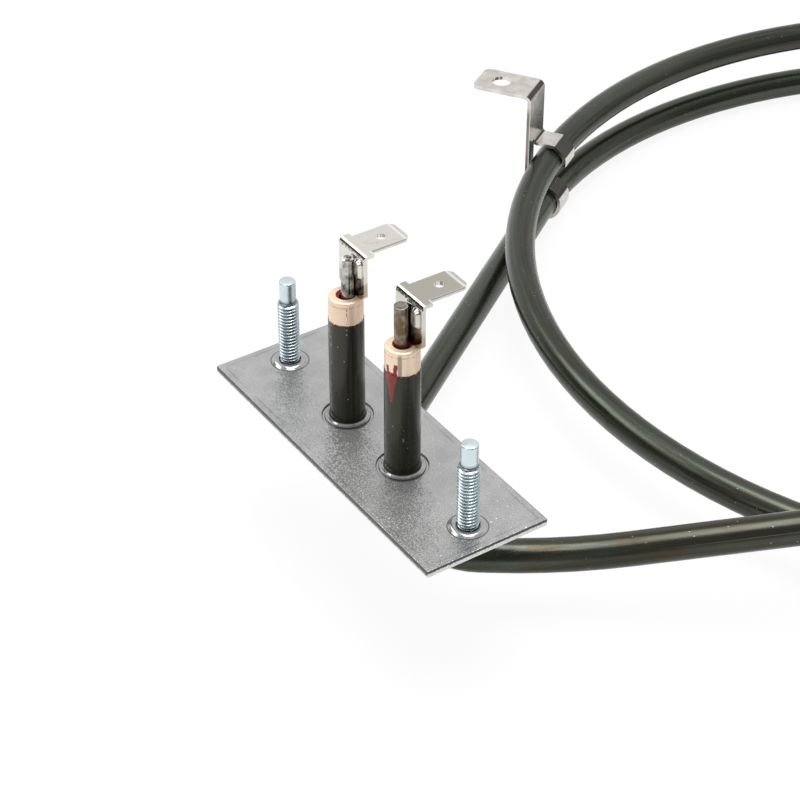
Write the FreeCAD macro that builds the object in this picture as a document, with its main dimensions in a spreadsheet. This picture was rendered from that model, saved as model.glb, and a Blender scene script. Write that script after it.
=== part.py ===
# Round two-turn tubular heating element for a fan oven, with its mounting plate and brackets.
# Frame, in millimetres: the origin is the centre of the plate's outer face, +X runs along the
# plate, +Y points at the ring and +Z is the way the terminals stand. The face z = 0 meets the wall.
import FreeCAD, Part
import math
import os
import Sketcher

SIZES = [
    ("plate_length", 70.8, "mounting plate, along X"),
    ("plate_width", 25.2, "mounting plate, along Y"),
    ("plate_thick", 1.2, "mounting plate sheet"),
    ("plate_corner", 0.5, "corner rounding of the plate"),
    ("plate_roll", 0.3, "rolled-over upper edge of the plate"),
    ("stud_pitch", 58.5, "distance between the two studs"),
    ("stud_dia", 4.0, "thread of the studs, over its crests"),
    ("shank_dia", 3.6, "plain shank of the studs, under the thread"),
    ("shank_height", 0.6, "plain shank above the plate"),
    ("stud_height", 18.0, "stud above the plate"),
    ("thread_height", 13.8, "threaded length above the plate"),
    ("point_dia", 3.1, "plain dog point of the stud"),
    ("point_cone", 0.6, "height of the cone under the dog point"),
    ("point_chamfer", 0.3, "end of the dog point"),
    ("stud_fit", 0.03, "gap between shank and plate hole"),
    ("head_dia", 7.0, "stud head under the plate"),
    ("head_thick", 1.2, "stud head under the plate"),
    ("collar_dia", 6.4, "raised collar round each stud"),
    ("collar_height", 0.4, "raised collar round each stud"),
    ("collar_gap", 0.3, "gap between stud and collar"),
    ("tube_pitch", 18.0, "distance between the two tube legs"),
    ("tube_dia", 6.5, "sheath"),
    ("tube_rise", 26.4, "sheath ends above the plate"),
    ("tube_fit", 0.03, "gap between sheath and plate hole"),
    ("bead_dia", 7.7, "staked bead round each leg"),
    ("bead_height", 0.3, "staked bead round each leg"),
    ("groove_dia", 9.5, "pressed groove round each bead, outside"),
    ("groove_width", 0.55, "pressed groove"),
    ("groove_depth", 0.3, "pressed groove"),
    ("stake_slope", 0.2, "sloped shoulder of the collars and beads"),
    ("bare_dia", 6.3, "bare end of the sheath"),
    ("bare_length", 4.75, "bare end of the sheath"),
    ("end_round", 0.55, "rounded rim of the sheath end"),
    ("bore_dia", 5.3, "inside of the sheath"),
    ("bore_depth", 30.0, "open length of the sheath at each end"),
    ("lip_dia", 3.6, "rolled-in mouth of the sheath"),
    ("lip_thick", 1.2, "rolled-in mouth of the sheath"),
    ("leg_depth", 20.5, "legs below the wall face, next to the plate"),
    ("bend_radius", 14.0, "bend of each leg under the plate"),
    ("ring_radius", 100.5, "centre line of the ring"),
    ("ring_reach", 157.5, "ring centre from the plate centre"),
    ("ring_depth", 19.5, "mean level of the ring below the wall face"),
    ("turn_pitch", 13.0, "rise of the ring for each full turn"),
    ("climb_start", 29.0, "plan distance where the right leg begins to climb"),
    ("climb_lead", 33.6, "level run of the right leg between the climb and the ring"),
    ("climb_easing", 13.0, "length of tube that eases into and out of the climb"),
    ("pin_dia", 2.5, "terminal pin"),
    ("pin_height", 7.9, "terminal pin above the sheath end"),
    ("pin_chamfer", 0.25, "end of the terminal pin"),
    ("seal_thick", 2.0, "seal under the rolled-in mouth"),
    ("seal_recess", 0.5, "seal below the sheath end"),
    ("coil_dia", 3.3, "wound end of the resistance coil, outside"),
    ("coil_length", 12.0, "stretch of the coil wound on the pin"),
    ("tab_thick", 0.8, "terminal tab sheet"),
    ("tab_width", 8.0, "upright leg of the tab"),
    ("tab_height", 9.4, "blade's top above the sheath end"),
    ("tab_gap", 0.1, "gap between sheath end and tab"),
    ("tab_corner", 0.8, "cut corners at the tab's foot"),
    ("tab_bend", 0.3, "inside radius of the tab's bend"),
    ("blade_width", 6.3, "blade of the tab"),
    ("blade_reach", 11.8, "blade tip from the pin axis"),
    ("blade_root", 3.5, "where the tab narrows to the blade"),
    ("blade_point", 1.1, "cut corners at the blade's tip"),
    ("blade_bevel", 0.2, "bevel along the blade's edges"),
    ("blade_hole_dia", 1.9, "locking hole of the blade"),
    ("blade_hole_reach", 7.5, "locking hole from the pin axis"),
    ("rib_width", 2.4, "pressed rib on the tab, beside the pin"),
    ("rib_length", 4.1, "pressed rib on the tab"),
    ("rib_height", 0.65, "pressed rib on the tab"),
    ("rib_slope", 0.45, "sloped edge of the rib"),
    ("rib_side", 2.4, "pressed rib from the pin axis, along X"),
    ("rib_lift", 4.2, "foot of the rib above the sheath end"),
    ("strip_thick", 0.8, "bracket strip"),
    ("strip_width", 9.0, "bracket strip"),
    ("strip_fit", 0.3, "gap between tube and bracket"),
    ("strip_bend", 1.2, "middle radius of the bracket's sharp bends"),
    ("eye_lap", 1.0, "straight ends of the eye past the tube's centre"),
    ("eye_width", 5.7, "eye round the lower turn"),
    ("eye_inset", 2.2, "eye from the strip's edge on the tongue's side"),
    ("tongue_width", 5.8, "tongue cut from the strip over the upper turn"),
    ("tongue_facet", 2.5, "sloped facet of the tongue, across and down"),
    ("tongue_bend", 1.2, "middle radius of the tongue's blunt bends"),
    ("tongue_drop", 0.6, "end of the tongue below the tube's centre"),
    ("foot_length", 14.0, "bracket foot on the wall"),
    ("foot_corner", 1.5, "rounded corners of the foot"),
    ("foot_hole_dia", 4.3, "screw hole of the foot"),
    ("foot_hole_reach", 8.5, "screw hole from the strip"),
    ("bracket_angle", 32.65, "side brackets, from the X axis towards the plate, in degrees"),
]

ringArcs = 12
tiny = 1e-4

doc = FreeCAD.newDocument("tubular_heating_element")
sheet = doc.addObject("Spreadsheet::Sheet", "Sizes")
for row, (alias, value, note) in enumerate(SIZES, start=1):
    sheet.set(f"A{row}", note)
    sheet.set(f"B{row}", str(value))
    sheet.setAlias(f"B{row}", alias)
doc.recompute()

subparts = []


def size(alias):
    return float(getattr(sheet, alias))


def finish(obj, label):
    """Give a finished sub-part its name and keep it for the export."""
    obj.Label = label
    subparts.append(obj)


# Sketches and PartDesign features


def originPlane(body, role):
    return next(f for f in body.Origin.OriginFeatures if f.Role == role)


def newSketch(body, name, role, lift=None):
    sketch = body.newObject("Sketcher::SketchObject", name)
    sketch.AttachmentSupport = [(originPlane(body, role), "")]
    sketch.MapMode = "FlatFace"
    if lift:
        sketch.setExpression("AttachmentOffset.Base.z", lift)
    doc.recompute()
    return sketch


def worth(sketch, expression):
    return float(sketch.evalExpression(expression))


def tiePoint(sketch, line, end, place):
    """Tie a point of the sketch to two expressions measured from the sketch's origin."""
    for kind, axis, expression in (("DistanceX", -2, place[0]), ("DistanceY", -1, place[1])):
        if expression == "0":
            sketch.addConstraint(Sketcher.Constraint("PointOnObject", line, end, axis))
            continue
        distance = worth(sketch, expression)
        tie = sketch.addConstraint(Sketcher.Constraint(kind, -1, 1, line, end, distance))
        sketch.setExpression(f"Constraints[{tie}]", expression)


def drawOutline(sketch, places):
    """Draw a closed outline through places, each a pair of expressions."""
    points = [FreeCAD.Vector(worth(sketch, x), worth(sketch, y), 0) for x, y in places]
    first = sketch.GeometryCount
    for i, point in enumerate(points):
        sketch.addGeometry(Part.LineSegment(point, points[(i + 1) % len(points)]))
    for i, place in enumerate(places):
        after = first + (i + 1) % len(points)
        sketch.addConstraint(Sketcher.Constraint("Coincident", first + i, 2, after, 1))
        tiePoint(sketch, first + i, 1, place)


def drawCircle(sketch, x, y, radius):
    centre = FreeCAD.Vector(worth(sketch, x), worth(sketch, y), 0)
    line = sketch.addGeometry(Part.Circle(centre, FreeCAD.Vector(0, 0, 1), worth(sketch, radius)))
    tiePoint(sketch, line, 3, (x, y))
    tie = sketch.addConstraint(Sketcher.Constraint("Radius", line, worth(sketch, radius)))
    sketch.setExpression(f"Constraints[{tie}]", radius)


def drawSlot(sketch, x, low, high, radius):
    """Draw an upright slot whose two half rounds have their centres at low and high."""
    r = worth(sketch, radius)
    across = worth(sketch, x)
    ends = []
    for y, start in ((high, 0.0), (low, math.pi)):
        centre = FreeCAD.Vector(across, worth(sketch, y), 0)
        round_ = Part.ArcOfCircle(Part.Circle(centre, FreeCAD.Vector(0, 0, 1), r), start, start + math.pi)
        arc = sketch.addGeometry(round_)
        tiePoint(sketch, arc, 3, (x, y))
        tie = sketch.addConstraint(Sketcher.Constraint("Radius", arc, r))
        sketch.setExpression(f"Constraints[{tie}]", radius)
        ends.append((arc, centre))
    (top, high_centre), (bottom, low_centre) = ends
    for side, top_end, bottom_end in ((1, 1, 2), (-1, 2, 1)):
        shift = FreeCAD.Vector(side * r, 0, 0)
        line = sketch.addGeometry(Part.LineSegment(low_centre + shift, high_centre + shift))
        sketch.addConstraint(Sketcher.Constraint("Tangent", line, 2, top, top_end))
        sketch.addConstraint(Sketcher.Constraint("Tangent", line, 1, bottom, bottom_end))


def addPad(body, name, sketch, length, both_ways=False, reverse=False):
    pad = body.newObject("PartDesign::Pad", name)
    pad.Profile = sketch
    pad.setExpression("Length", length)
    pad.Midplane = both_ways
    pad.Reversed = reverse
    doc.recompute()
    return pad


def addPocket(body, name, sketch):
    """Cut a sketch right through the body, and make sure that it cut something."""
    before = body.Shape.Volume
    pocket = body.newObject("PartDesign::Pocket", name)
    pocket.Profile = sketch
    pocket.Type = "ThroughAll"
    pocket.Midplane = True
    doc.recompute()
    if not body.Shape.Volume < before:
        raise RuntimeError(f"{name} cuts nothing")


def addTurned(body, name, profile, centre="0", cut=False):
    """Turn a profile, given as (radius, level) expressions, about an upright axis."""
    sketch = newSketch(body, name + "_profile", "XZ_Plane")
    x = worth(sketch, centre)
    axis = Part.LineSegment(FreeCAD.Vector(x, 0, 0), FreeCAD.Vector(x, 1, 0))
    line = sketch.addGeometry(axis, True)
    sketch.addConstraint(Sketcher.Constraint("Vertical", line))
    sketch.addConstraint(Sketcher.Constraint("DistanceY", line, 1, line, 2, 1.0))
    tiePoint(sketch, line, 1, (centre, "0"))
    shift = "" if centre == "0" else f"{centre} + "
    drawOutline(sketch, [(shift + radius if radius != "0" else centre, level) for radius, level in profile])
    kind = "PartDesign::Groove" if cut else "PartDesign::Revolution"
    before = body.Shape.Volume if cut else 0
    turned = body.newObject(kind, name)
    turned.Profile = sketch
    turned.ReferenceAxis = (sketch, ["Axis0"])
    turned.Angle = 360
    doc.recompute()
    if cut and not body.Shape.Volume < before:
        raise RuntimeError(f"{name} cuts nothing")


def edgesWhere(shape, test):
    """Names of the edges whose middle point and direction pass a test."""
    names = []
    for number, edge in enumerate(shape.Edges, start=1):
        middle = edge.valueAt((edge.FirstParameter + edge.LastParameter) / 2)
        along = edge.tangentAt(edge.FirstParameter)
        if test(middle, along, edge):
            names.append(f"Edge{number}")
    return names


def near(a, b):
    return abs(a - b) < tiny


def dressEdges(body, kind, name, test, amount):
    """Fillet or chamfer the body's edges that pass a test."""
    base = body.Tip
    feature = body.newObject(kind, name)
    feature.Base = (base, edgesWhere(base.Shape, test))
    feature.setExpression("Radius" if kind.endswith("Fillet") else "Size", amount)
    doc.recompute()


def placeBody(body, x, z="0"):
    body.setExpression("Placement.Base.x", x)
    body.setExpression("Placement.Base.z", z)
    doc.recompute()


# Mounting plate, staked round the legs and the studs


def makePlate():
    body = doc.addObject("PartDesign::Body", "mounting_plate")
    blank = newSketch(body, "plate_outline", "XY_Plane")
    half_x, half_y = "Sizes.plate_length / 2", "Sizes.plate_width / 2"
    corners = [(-1, -1), (1, -1), (1, 1), (-1, 1)]
    drawOutline(blank, [(f"{x} * {half_x}", f"{y} * {half_y}") for x, y in corners])
    addPad(body, "plate_blank", blank, "Sizes.plate_thick", reverse=True)
    upright = lambda middle, along, edge: near(abs(along.z), 1)
    dressEdges(body, "PartDesign::Fillet", "plate_corners", upright, "Sizes.plate_corner")
    upper = lambda middle, along, edge: near(middle.z, 0)
    dressEdges(body, "PartDesign::Fillet", "plate_rolled_edge", upper, "Sizes.plate_roll")
    middle = "-Sizes.plate_thick / 2"
    for side, sign in (("left", "-1"), ("right", "1")):
        stud = f"{sign} * Sizes.stud_pitch / 2"
        inner = "Sizes.stud_dia / 2 + Sizes.collar_gap"
        addTurned(body, f"stud_collar_{side}", [
            (inner, middle),
            (inner, "Sizes.collar_height"),
            ("Sizes.collar_dia / 2 - Sizes.stake_slope", "Sizes.collar_height"),
            ("Sizes.collar_dia / 2", "Sizes.collar_height - Sizes.stake_slope"),
            ("Sizes.collar_dia / 2", middle),
        ], stud)
        leg = f"{sign} * Sizes.tube_pitch / 2"
        hole = "Sizes.tube_dia / 2 + Sizes.tube_fit"
        addTurned(body, f"bead_{side}", [
            (hole, middle),
            (hole, "Sizes.bead_height"),
            ("Sizes.bead_dia / 2 - Sizes.stake_slope", "Sizes.bead_height"),
            ("Sizes.bead_dia / 2", "Sizes.bead_height - Sizes.stake_slope"),
            ("Sizes.bead_dia / 2", middle),
        ], leg)
        addTurned(body, f"groove_{side}", [
            ("Sizes.groove_dia / 2 - Sizes.groove_width", "0"),
            ("Sizes.groove_dia / 2 - Sizes.groove_width", "-Sizes.groove_depth"),
            ("Sizes.groove_dia / 2", "-Sizes.groove_depth"),
            ("Sizes.groove_dia / 2", "0"),
        ], leg, cut=True)
        holes = newSketch(body, f"holes_{side}", "XY_Plane")
        drawCircle(holes, leg, "0", hole)
        drawCircle(holes, stud, "0", "Sizes.shank_dia / 2 + Sizes.stud_fit")
        addPocket(body, f"bored_{side}", holes)
    finish(body, "mounting_plate")


# Round pieces, each turned about its own upright axis


def makeTurned(label, profile, x, z="0"):
    body = doc.addObject("PartDesign::Body", label)
    addTurned(body, f"{label}_turned", profile)
    placeBody(body, x, z)
    finish(body, label)


def makeStud(side, sign):
    point = "Sizes.point_dia / 2"
    under = "-Sizes.plate_thick"
    makeTurned(f"stud_{side}", [
        ("0", f"{under} - Sizes.head_thick"),
        ("Sizes.head_dia / 2", f"{under} - Sizes.head_thick"),
        ("Sizes.head_dia / 2", under),
        ("Sizes.shank_dia / 2", under),
        ("Sizes.shank_dia / 2", "Sizes.shank_height"),
        ("Sizes.stud_dia / 2", "Sizes.shank_height"),
        ("Sizes.stud_dia / 2", "Sizes.thread_height"),
        (point, "Sizes.thread_height + Sizes.point_cone"),
        (point, "Sizes.stud_height - Sizes.point_chamfer"),
        (f"{point} - Sizes.point_chamfer", "Sizes.stud_height"),
        ("0", "Sizes.stud_height"),
    ], f"{sign} * Sizes.stud_pitch / 2")


def makeTerminal(side, sign):
    """The pin, the seal, the packed oxide and the coil's wound end of one leg.

    Levels are measured from the sheath end.
    """
    leg = f"{sign} * Sizes.tube_pitch / 2"
    top = "Sizes.tube_rise"
    pin = "Sizes.pin_dia / 2"
    bore = "Sizes.bore_dia / 2"
    lip = "Sizes.lip_dia / 2"
    coil = "Sizes.coil_dia / 2"
    floor = "-Sizes.bore_depth"
    seal_top = "-Sizes.seal_recess"
    lip_foot = "-Sizes.lip_thick"
    seal_foot = "-Sizes.lip_thick - Sizes.seal_thick"
    coil_top = "Sizes.coil_length - Sizes.bore_depth"
    makeTurned(f"terminal_pin_{side}", [
        ("0", floor),
        (pin, floor),
        (pin, "Sizes.pin_height - Sizes.pin_chamfer"),
        (f"{pin} - Sizes.pin_chamfer", "Sizes.pin_height"),
        ("0", "Sizes.pin_height"),
    ], leg, top)
    makeTurned(f"end_seal_{side}", [
        (pin, seal_foot),
        (bore, seal_foot),
        (bore, lip_foot),
        (lip, lip_foot),
        (lip, seal_top),
        (pin, seal_top),
    ], leg, top)
    makeTurned(f"oxide_fill_{side}", [
        (coil, floor),
        (bore, floor),
        (bore, seal_foot),
        (pin, seal_foot),
        (pin, coil_top),
        (coil, coil_top),
    ], leg, top)
    makeTurned(f"coil_end_{side}", [
        (pin, floor),
        (coil, floor),
        (coil, coil_top),
        (pin, coil_top),
    ], leg, top)


# Terminal tab, folded from sheet and welded to the pin's +Y side


def makeTab(side, sign):
    body = doc.addObject("PartDesign::Body", f"terminal_tab_{side}")
    front, back = "Sizes.pin_dia / 2", "Sizes.pin_dia / 2 + Sizes.tab_thick"
    top, under = "Sizes.tab_height", "Sizes.tab_height - Sizes.tab_thick"
    fold = newSketch(body, f"tab_fold_{side}", "YZ_Plane")
    drawOutline(fold, [
        (front, "Sizes.tab_gap"),
        (front, top),
        ("Sizes.blade_root", top),
        ("Sizes.blade_root", under),
        (back, under),
        (back, "Sizes.tab_gap"),
    ])
    addPad(body, f"tab_leg_{side}", fold, "Sizes.tab_width", both_ways=True)
    y_front, y_back = size("pin_dia") / 2, size("pin_dia") / 2 + size("tab_thick")
    z_top, z_under = size("tab_height"), size("tab_height") - size("tab_thick")
    outside = lambda middle, along, edge: near(middle.y, y_front) and near(middle.z, z_top)
    inside = lambda middle, along, edge: near(middle.y, y_back) and near(middle.z, z_under)
    outer_bend = "Sizes.tab_bend + Sizes.tab_thick"
    dressEdges(body, "PartDesign::Fillet", f"tab_outer_bend_{side}", outside, outer_bend)
    dressEdges(body, "PartDesign::Fillet", f"tab_inner_bend_{side}", inside, "Sizes.tab_bend")
    foot = lambda middle, along, edge: near(abs(along.y), 1) and near(middle.z, size("tab_gap"))
    dressEdges(body, "PartDesign::Chamfer", f"tab_foot_{side}", foot, "Sizes.tab_corner")
    blade = newSketch(body, f"blade_outline_{side}", "XY_Plane", under)
    half, reach, point = "Sizes.blade_width / 2", "Sizes.blade_reach", "Sizes.blade_point"
    drawOutline(blade, [
        (f"-({half})", "Sizes.blade_root"),
        (half, "Sizes.blade_root"),
        (half, f"{reach} - {point}"),
        (f"{half} - {point}", reach),
        (f"-({half} - {point})", reach),
        (f"-({half})", f"{reach} - {point}"),
    ])
    addPad(body, f"tab_blade_{side}", blade, "Sizes.tab_thick")
    x_edge = size("blade_width") / 2
    long_edge = lambda middle, along, edge: near(abs(along.y), 1) and near(abs(middle.x), x_edge)
    dressEdges(body, "PartDesign::Chamfer", f"blade_bevel_{side}", long_edge, "Sizes.blade_bevel")
    hole = newSketch(body, f"blade_hole_{side}", "XY_Plane")
    drawCircle(hole, "0", "Sizes.blade_hole_reach", "Sizes.blade_hole_dia / 2")
    addPocket(body, f"blade_holed_{side}", hole)
    rib = newSketch(body, f"rib_outline_{side}", "XZ_Plane", f"-({front})")
    low = "Sizes.rib_lift + Sizes.rib_width / 2"
    high = "Sizes.rib_lift + Sizes.rib_length - Sizes.rib_width / 2"
    drawSlot(rib, "Sizes.rib_side", low, high, "Sizes.rib_width / 2")
    addPad(body, f"tab_rib_{side}", rib, "Sizes.rib_height")
    crest = y_front - size("rib_height")
    rim = lambda middle, along, edge: near(middle.y, crest)
    dressEdges(body, "PartDesign::Chamfer", f"rib_slope_{side}", rim, "Sizes.rib_slope")
    placeBody(body, f"{sign} * Sizes.tube_pitch / 2", "Sizes.tube_rise")
    finish(body, f"terminal_tab_{side}")


# Centre lines of straight runs joined by tangent arcs


def turnAt(before, corner, after):
    """Angle by which a line turns at a corner."""
    return (corner - before).getAngle(after - corner)


def roundedEdges(corners, setbacks):
    """Edges through corners, each inner corner replaced by an arc that starts a setback before it."""
    edges = []
    start = corners[0]
    for i in range(1, len(corners) - 1):
        corner = corners[i]
        into = (corner - corners[i - 1]).normalize()
        out = (corners[i + 1] - corner).normalize()
        half_turn = into.getAngle(out) / 2
        radius = setbacks[i] / math.tan(half_turn)
        middle = corner + (out - into).normalize() * (radius / math.cos(half_turn) - radius)
        arc_start, arc_end = corner - into * setbacks[i], corner + out * setbacks[i]
        if start.distanceToPoint(arc_start) > tiny:
            edges.append(Part.LineSegment(start, arc_start).toShape())
        edges.append(Part.Arc(arc_start, middle, arc_end).toShape())
        start = arc_end
    if start.distanceToPoint(corners[-1]) > tiny:
        edges.append(Part.LineSegment(start, corners[-1]).toShape())
    return edges


# The ring winds clockwise as seen from the terminals. It starts where the left leg meets it and
# ends, one turn and a half circle later, where the right leg leaves it.


def ringSweep():
    """Angle of the ring's start, and the angle that it winds through."""
    foot = size("tube_pitch") / 2
    reach, radius = size("ring_reach"), size("ring_radius")
    to_centre = math.atan2(reach, foot)
    off_line = math.asin(radius / math.hypot(reach, foot))
    heading = to_centre + off_line
    start = heading + math.pi / 2
    return start, 2 * (start - math.pi / 2) + 2 * math.pi


def ringPoint(angle, radius):
    return FreeCAD.Vector(radius * math.cos(angle), size("ring_reach") + radius * math.sin(angle), 0)


def tubeCorners():
    """Corners and setbacks of the sheath's centre line, from the left end to the right end."""
    foot, top, depth = size("tube_pitch") / 2, size("tube_rise"), size("leg_depth")
    start, swept = ringSweep()
    leg_length = math.sqrt(size("ring_reach") ** 2 + foot**2 - size("ring_radius") ** 2)
    climb_end = leg_length - size("climb_lead")
    step = swept / ringArcs
    rise = size("turn_pitch") * swept / (2 * math.pi)
    lowest = -size("ring_depth") - rise / 2
    outer = size("ring_radius") / math.cos(step / 2)
    corners = [FreeCAD.Vector(-foot, 0, top), FreeCAD.Vector(-foot, 0, -depth)]
    for i in range(ringArcs):
        corner = ringPoint(start - (i + 0.5) * step, outer)
        corner.z = lowest + rise * (i + 0.5) / ringArcs
        corners.append(corner)
    last = start - swept
    heading = FreeCAD.Vector(math.sin(last), -math.cos(last), 0)
    leg_foot = FreeCAD.Vector(foot, 0, 0)
    for distance, level in ((climb_end, lowest + rise), (size("climb_start"), -depth)):
        corner = leg_foot - heading * distance
        corner.z = level
        corners.append(corner)
    corners.append(FreeCAD.Vector(foot, 0, -depth))
    corners.append(FreeCAD.Vector(foot, 0, top))
    ring_setback = (corners[3] - corners[2]).Length / 2
    setbacks = [0.0] * len(corners)
    for i in range(2, 2 + ringArcs):
        setbacks[i] = ring_setback
    for i in (2 + ringArcs, 3 + ringArcs):
        setbacks[i] = size("climb_easing")
    for i in (1, 4 + ringArcs):
        half_turn = turnAt(*corners[i - 1 : i + 2]) / 2
        setbacks[i] = size("bend_radius") * math.tan(half_turn)
    return corners, setbacks


# Sheath, one tube with its ends turned down, rolled in and open for the terminals


def addCylinder(name, radius, height, x, z):
    cylinder = doc.addObject("Part::Cylinder", name)
    cylinder.setExpression("Radius", radius)
    cylinder.setExpression("Height", height)
    cylinder.setExpression("Placement.Base.x", x)
    cylinder.setExpression("Placement.Base.z", z)
    return cylinder


def makeSheath():
    path = doc.addObject("Part::Feature", "tube_centre_line")
    path.Shape = Part.Wire(roundedEdges(*tubeCorners()))
    section = doc.addObject("Part::Circle", "tube_section")
    section.setExpression("Radius", "Sizes.tube_dia / 2")
    section.setExpression("Placement.Base.x", "-Sizes.tube_pitch / 2")
    section.setExpression("Placement.Base.z", "Sizes.tube_rise")
    tube = doc.addObject("Part::Sweep", "swept_tube")
    tube.Sections = [section]
    tube.Spine = (path, [f"Edge{i + 1}" for i in range(len(path.Shape.Edges))])
    tube.Solid = True
    tube.Frenet = False
    tools = []
    for side, sign in (("left", "-1"), ("right", "1")):
        leg = f"{sign} * Sizes.tube_pitch / 2"
        foot = "Sizes.tube_rise - Sizes.bare_length"
        skin = addCylinder(f"skin_{side}", "Sizes.tube_dia", "Sizes.bare_length", leg, foot)
        core = addCylinder(f"core_{side}", "Sizes.bare_dia / 2", "Sizes.bare_length", leg, foot)
        turning = doc.addObject("Part::Cut", f"turning_{side}")
        turning.Base = skin
        turning.Tool = core
        bore_length = "Sizes.bore_depth - Sizes.lip_thick"
        bore_foot = "Sizes.tube_rise - Sizes.bore_depth"
        bore = addCylinder(f"bore_{side}", "Sizes.bore_dia / 2", bore_length, leg, bore_foot)
        mouth = addCylinder(f"mouth_{side}", "Sizes.lip_dia / 2", "Sizes.bore_depth", leg, bore_foot)
        tools += [turning, bore, mouth]
    cutters = doc.addObject("Part::MultiFuse", "sheath_cutters")
    cutters.Shapes = tools
    opened = doc.addObject("Part::Cut", "opened_tube")
    opened.Base = tube
    opened.Tool = cutters
    doc.recompute()
    top, radius = size("tube_rise"), size("bare_dia") / 2
    rim = lambda middle, along, edge: (
        near(middle.z, top) and isinstance(edge.Curve, Part.Circle) and near(edge.Curve.Radius, radius)
    )
    rounded = doc.addObject("Part::Fillet", "rounded_tube")
    rounded.Base = opened
    amount = size("end_round")
    names = edgesWhere(opened.Shape, rim)
    rounded.Edges = [(int(name[4:]), amount, amount) for name in names]
    doc.recompute()
    finish(rounded, "sheath_tube")


# Brackets, each one folded strip. The strip comes down from its foot outside the ring and closes
# in an eye round the lower turn. A tongue cut from the strip is bent over the upper turn.


def foldedFace(line, radii, thick):
    """Section of a folded strip, from its middle line in the XZ plane and its middle radii."""
    points = [FreeCAD.Vector(u, 0, v) for u, v in line]
    count = len(points)
    runs = [(points[i + 1] - points[i]).normalize() for i in range(count - 1)]
    sides = [FreeCAD.Vector(-run.z, 0, run.x) for run in runs]
    edges, ends = [], []
    for half in (thick / 2, -thick / 2):
        corners = [points[0] + sides[0] * half]
        setbacks = [0.0]
        for i in range(1, count - 1):
            before, after = sides[i - 1], sides[i]
            corners.append(points[i] + (before + after) * (half / (1 + before.dot(after))))
            turns_left = before.dot(runs[i]) > 0
            radius = radii[i] - half if turns_left else radii[i] + half
            setbacks.append(radius * math.tan(runs[i - 1].getAngle(runs[i]) / 2))
        corners.append(points[-1] + sides[-1] * half)
        setbacks.append(0.0)
        edges += roundedEdges(corners, setbacks)
        ends.append((corners[0], corners[-1]))
    for a, b in zip(*ends):
        edges.append(Part.LineSegment(a, b).toShape())
    return Part.Face(Part.Wire(Part.__sortEdges__(edges)))


def addFold(name, line, radii, width, shift, frame):
    """Extrude a folded section to a width, from a shift along the ring."""
    face = doc.addObject("Part::Feature", f"{name}_section")
    face.Shape = foldedFace(line, radii, size("strip_thick"))
    face.Placement = frame.multiply(FreeCAD.Placement(FreeCAD.Vector(0, shift, 0), FreeCAD.Rotation()))
    fold = doc.addObject("Part::Extrusion", name)
    fold.Base = face
    fold.DirMode = "Custom"
    fold.Dir = frame.Rotation.multVec(FreeCAD.Vector(0, 1, 0))
    fold.setExpression("LengthFwd", width)
    fold.Solid = True
    return fold


def tubeLevels(centre_line, angle):
    """Levels at which the sheath's centre line crosses an upright half plane at an angle."""
    axis = ringPoint(angle, 0)
    beyond = ringPoint(angle, 1.5 * size("ring_radius"))
    tall = FreeCAD.Vector(0, 0, size("ring_reach"))
    corners = [axis - tall, beyond - tall, beyond + tall, axis + tall, axis - tall]
    half_plane = Part.Face(Part.makePolygon(corners))
    return sorted(vertex.Z for vertex in centre_line.section(half_plane).Vertexes)


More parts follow.
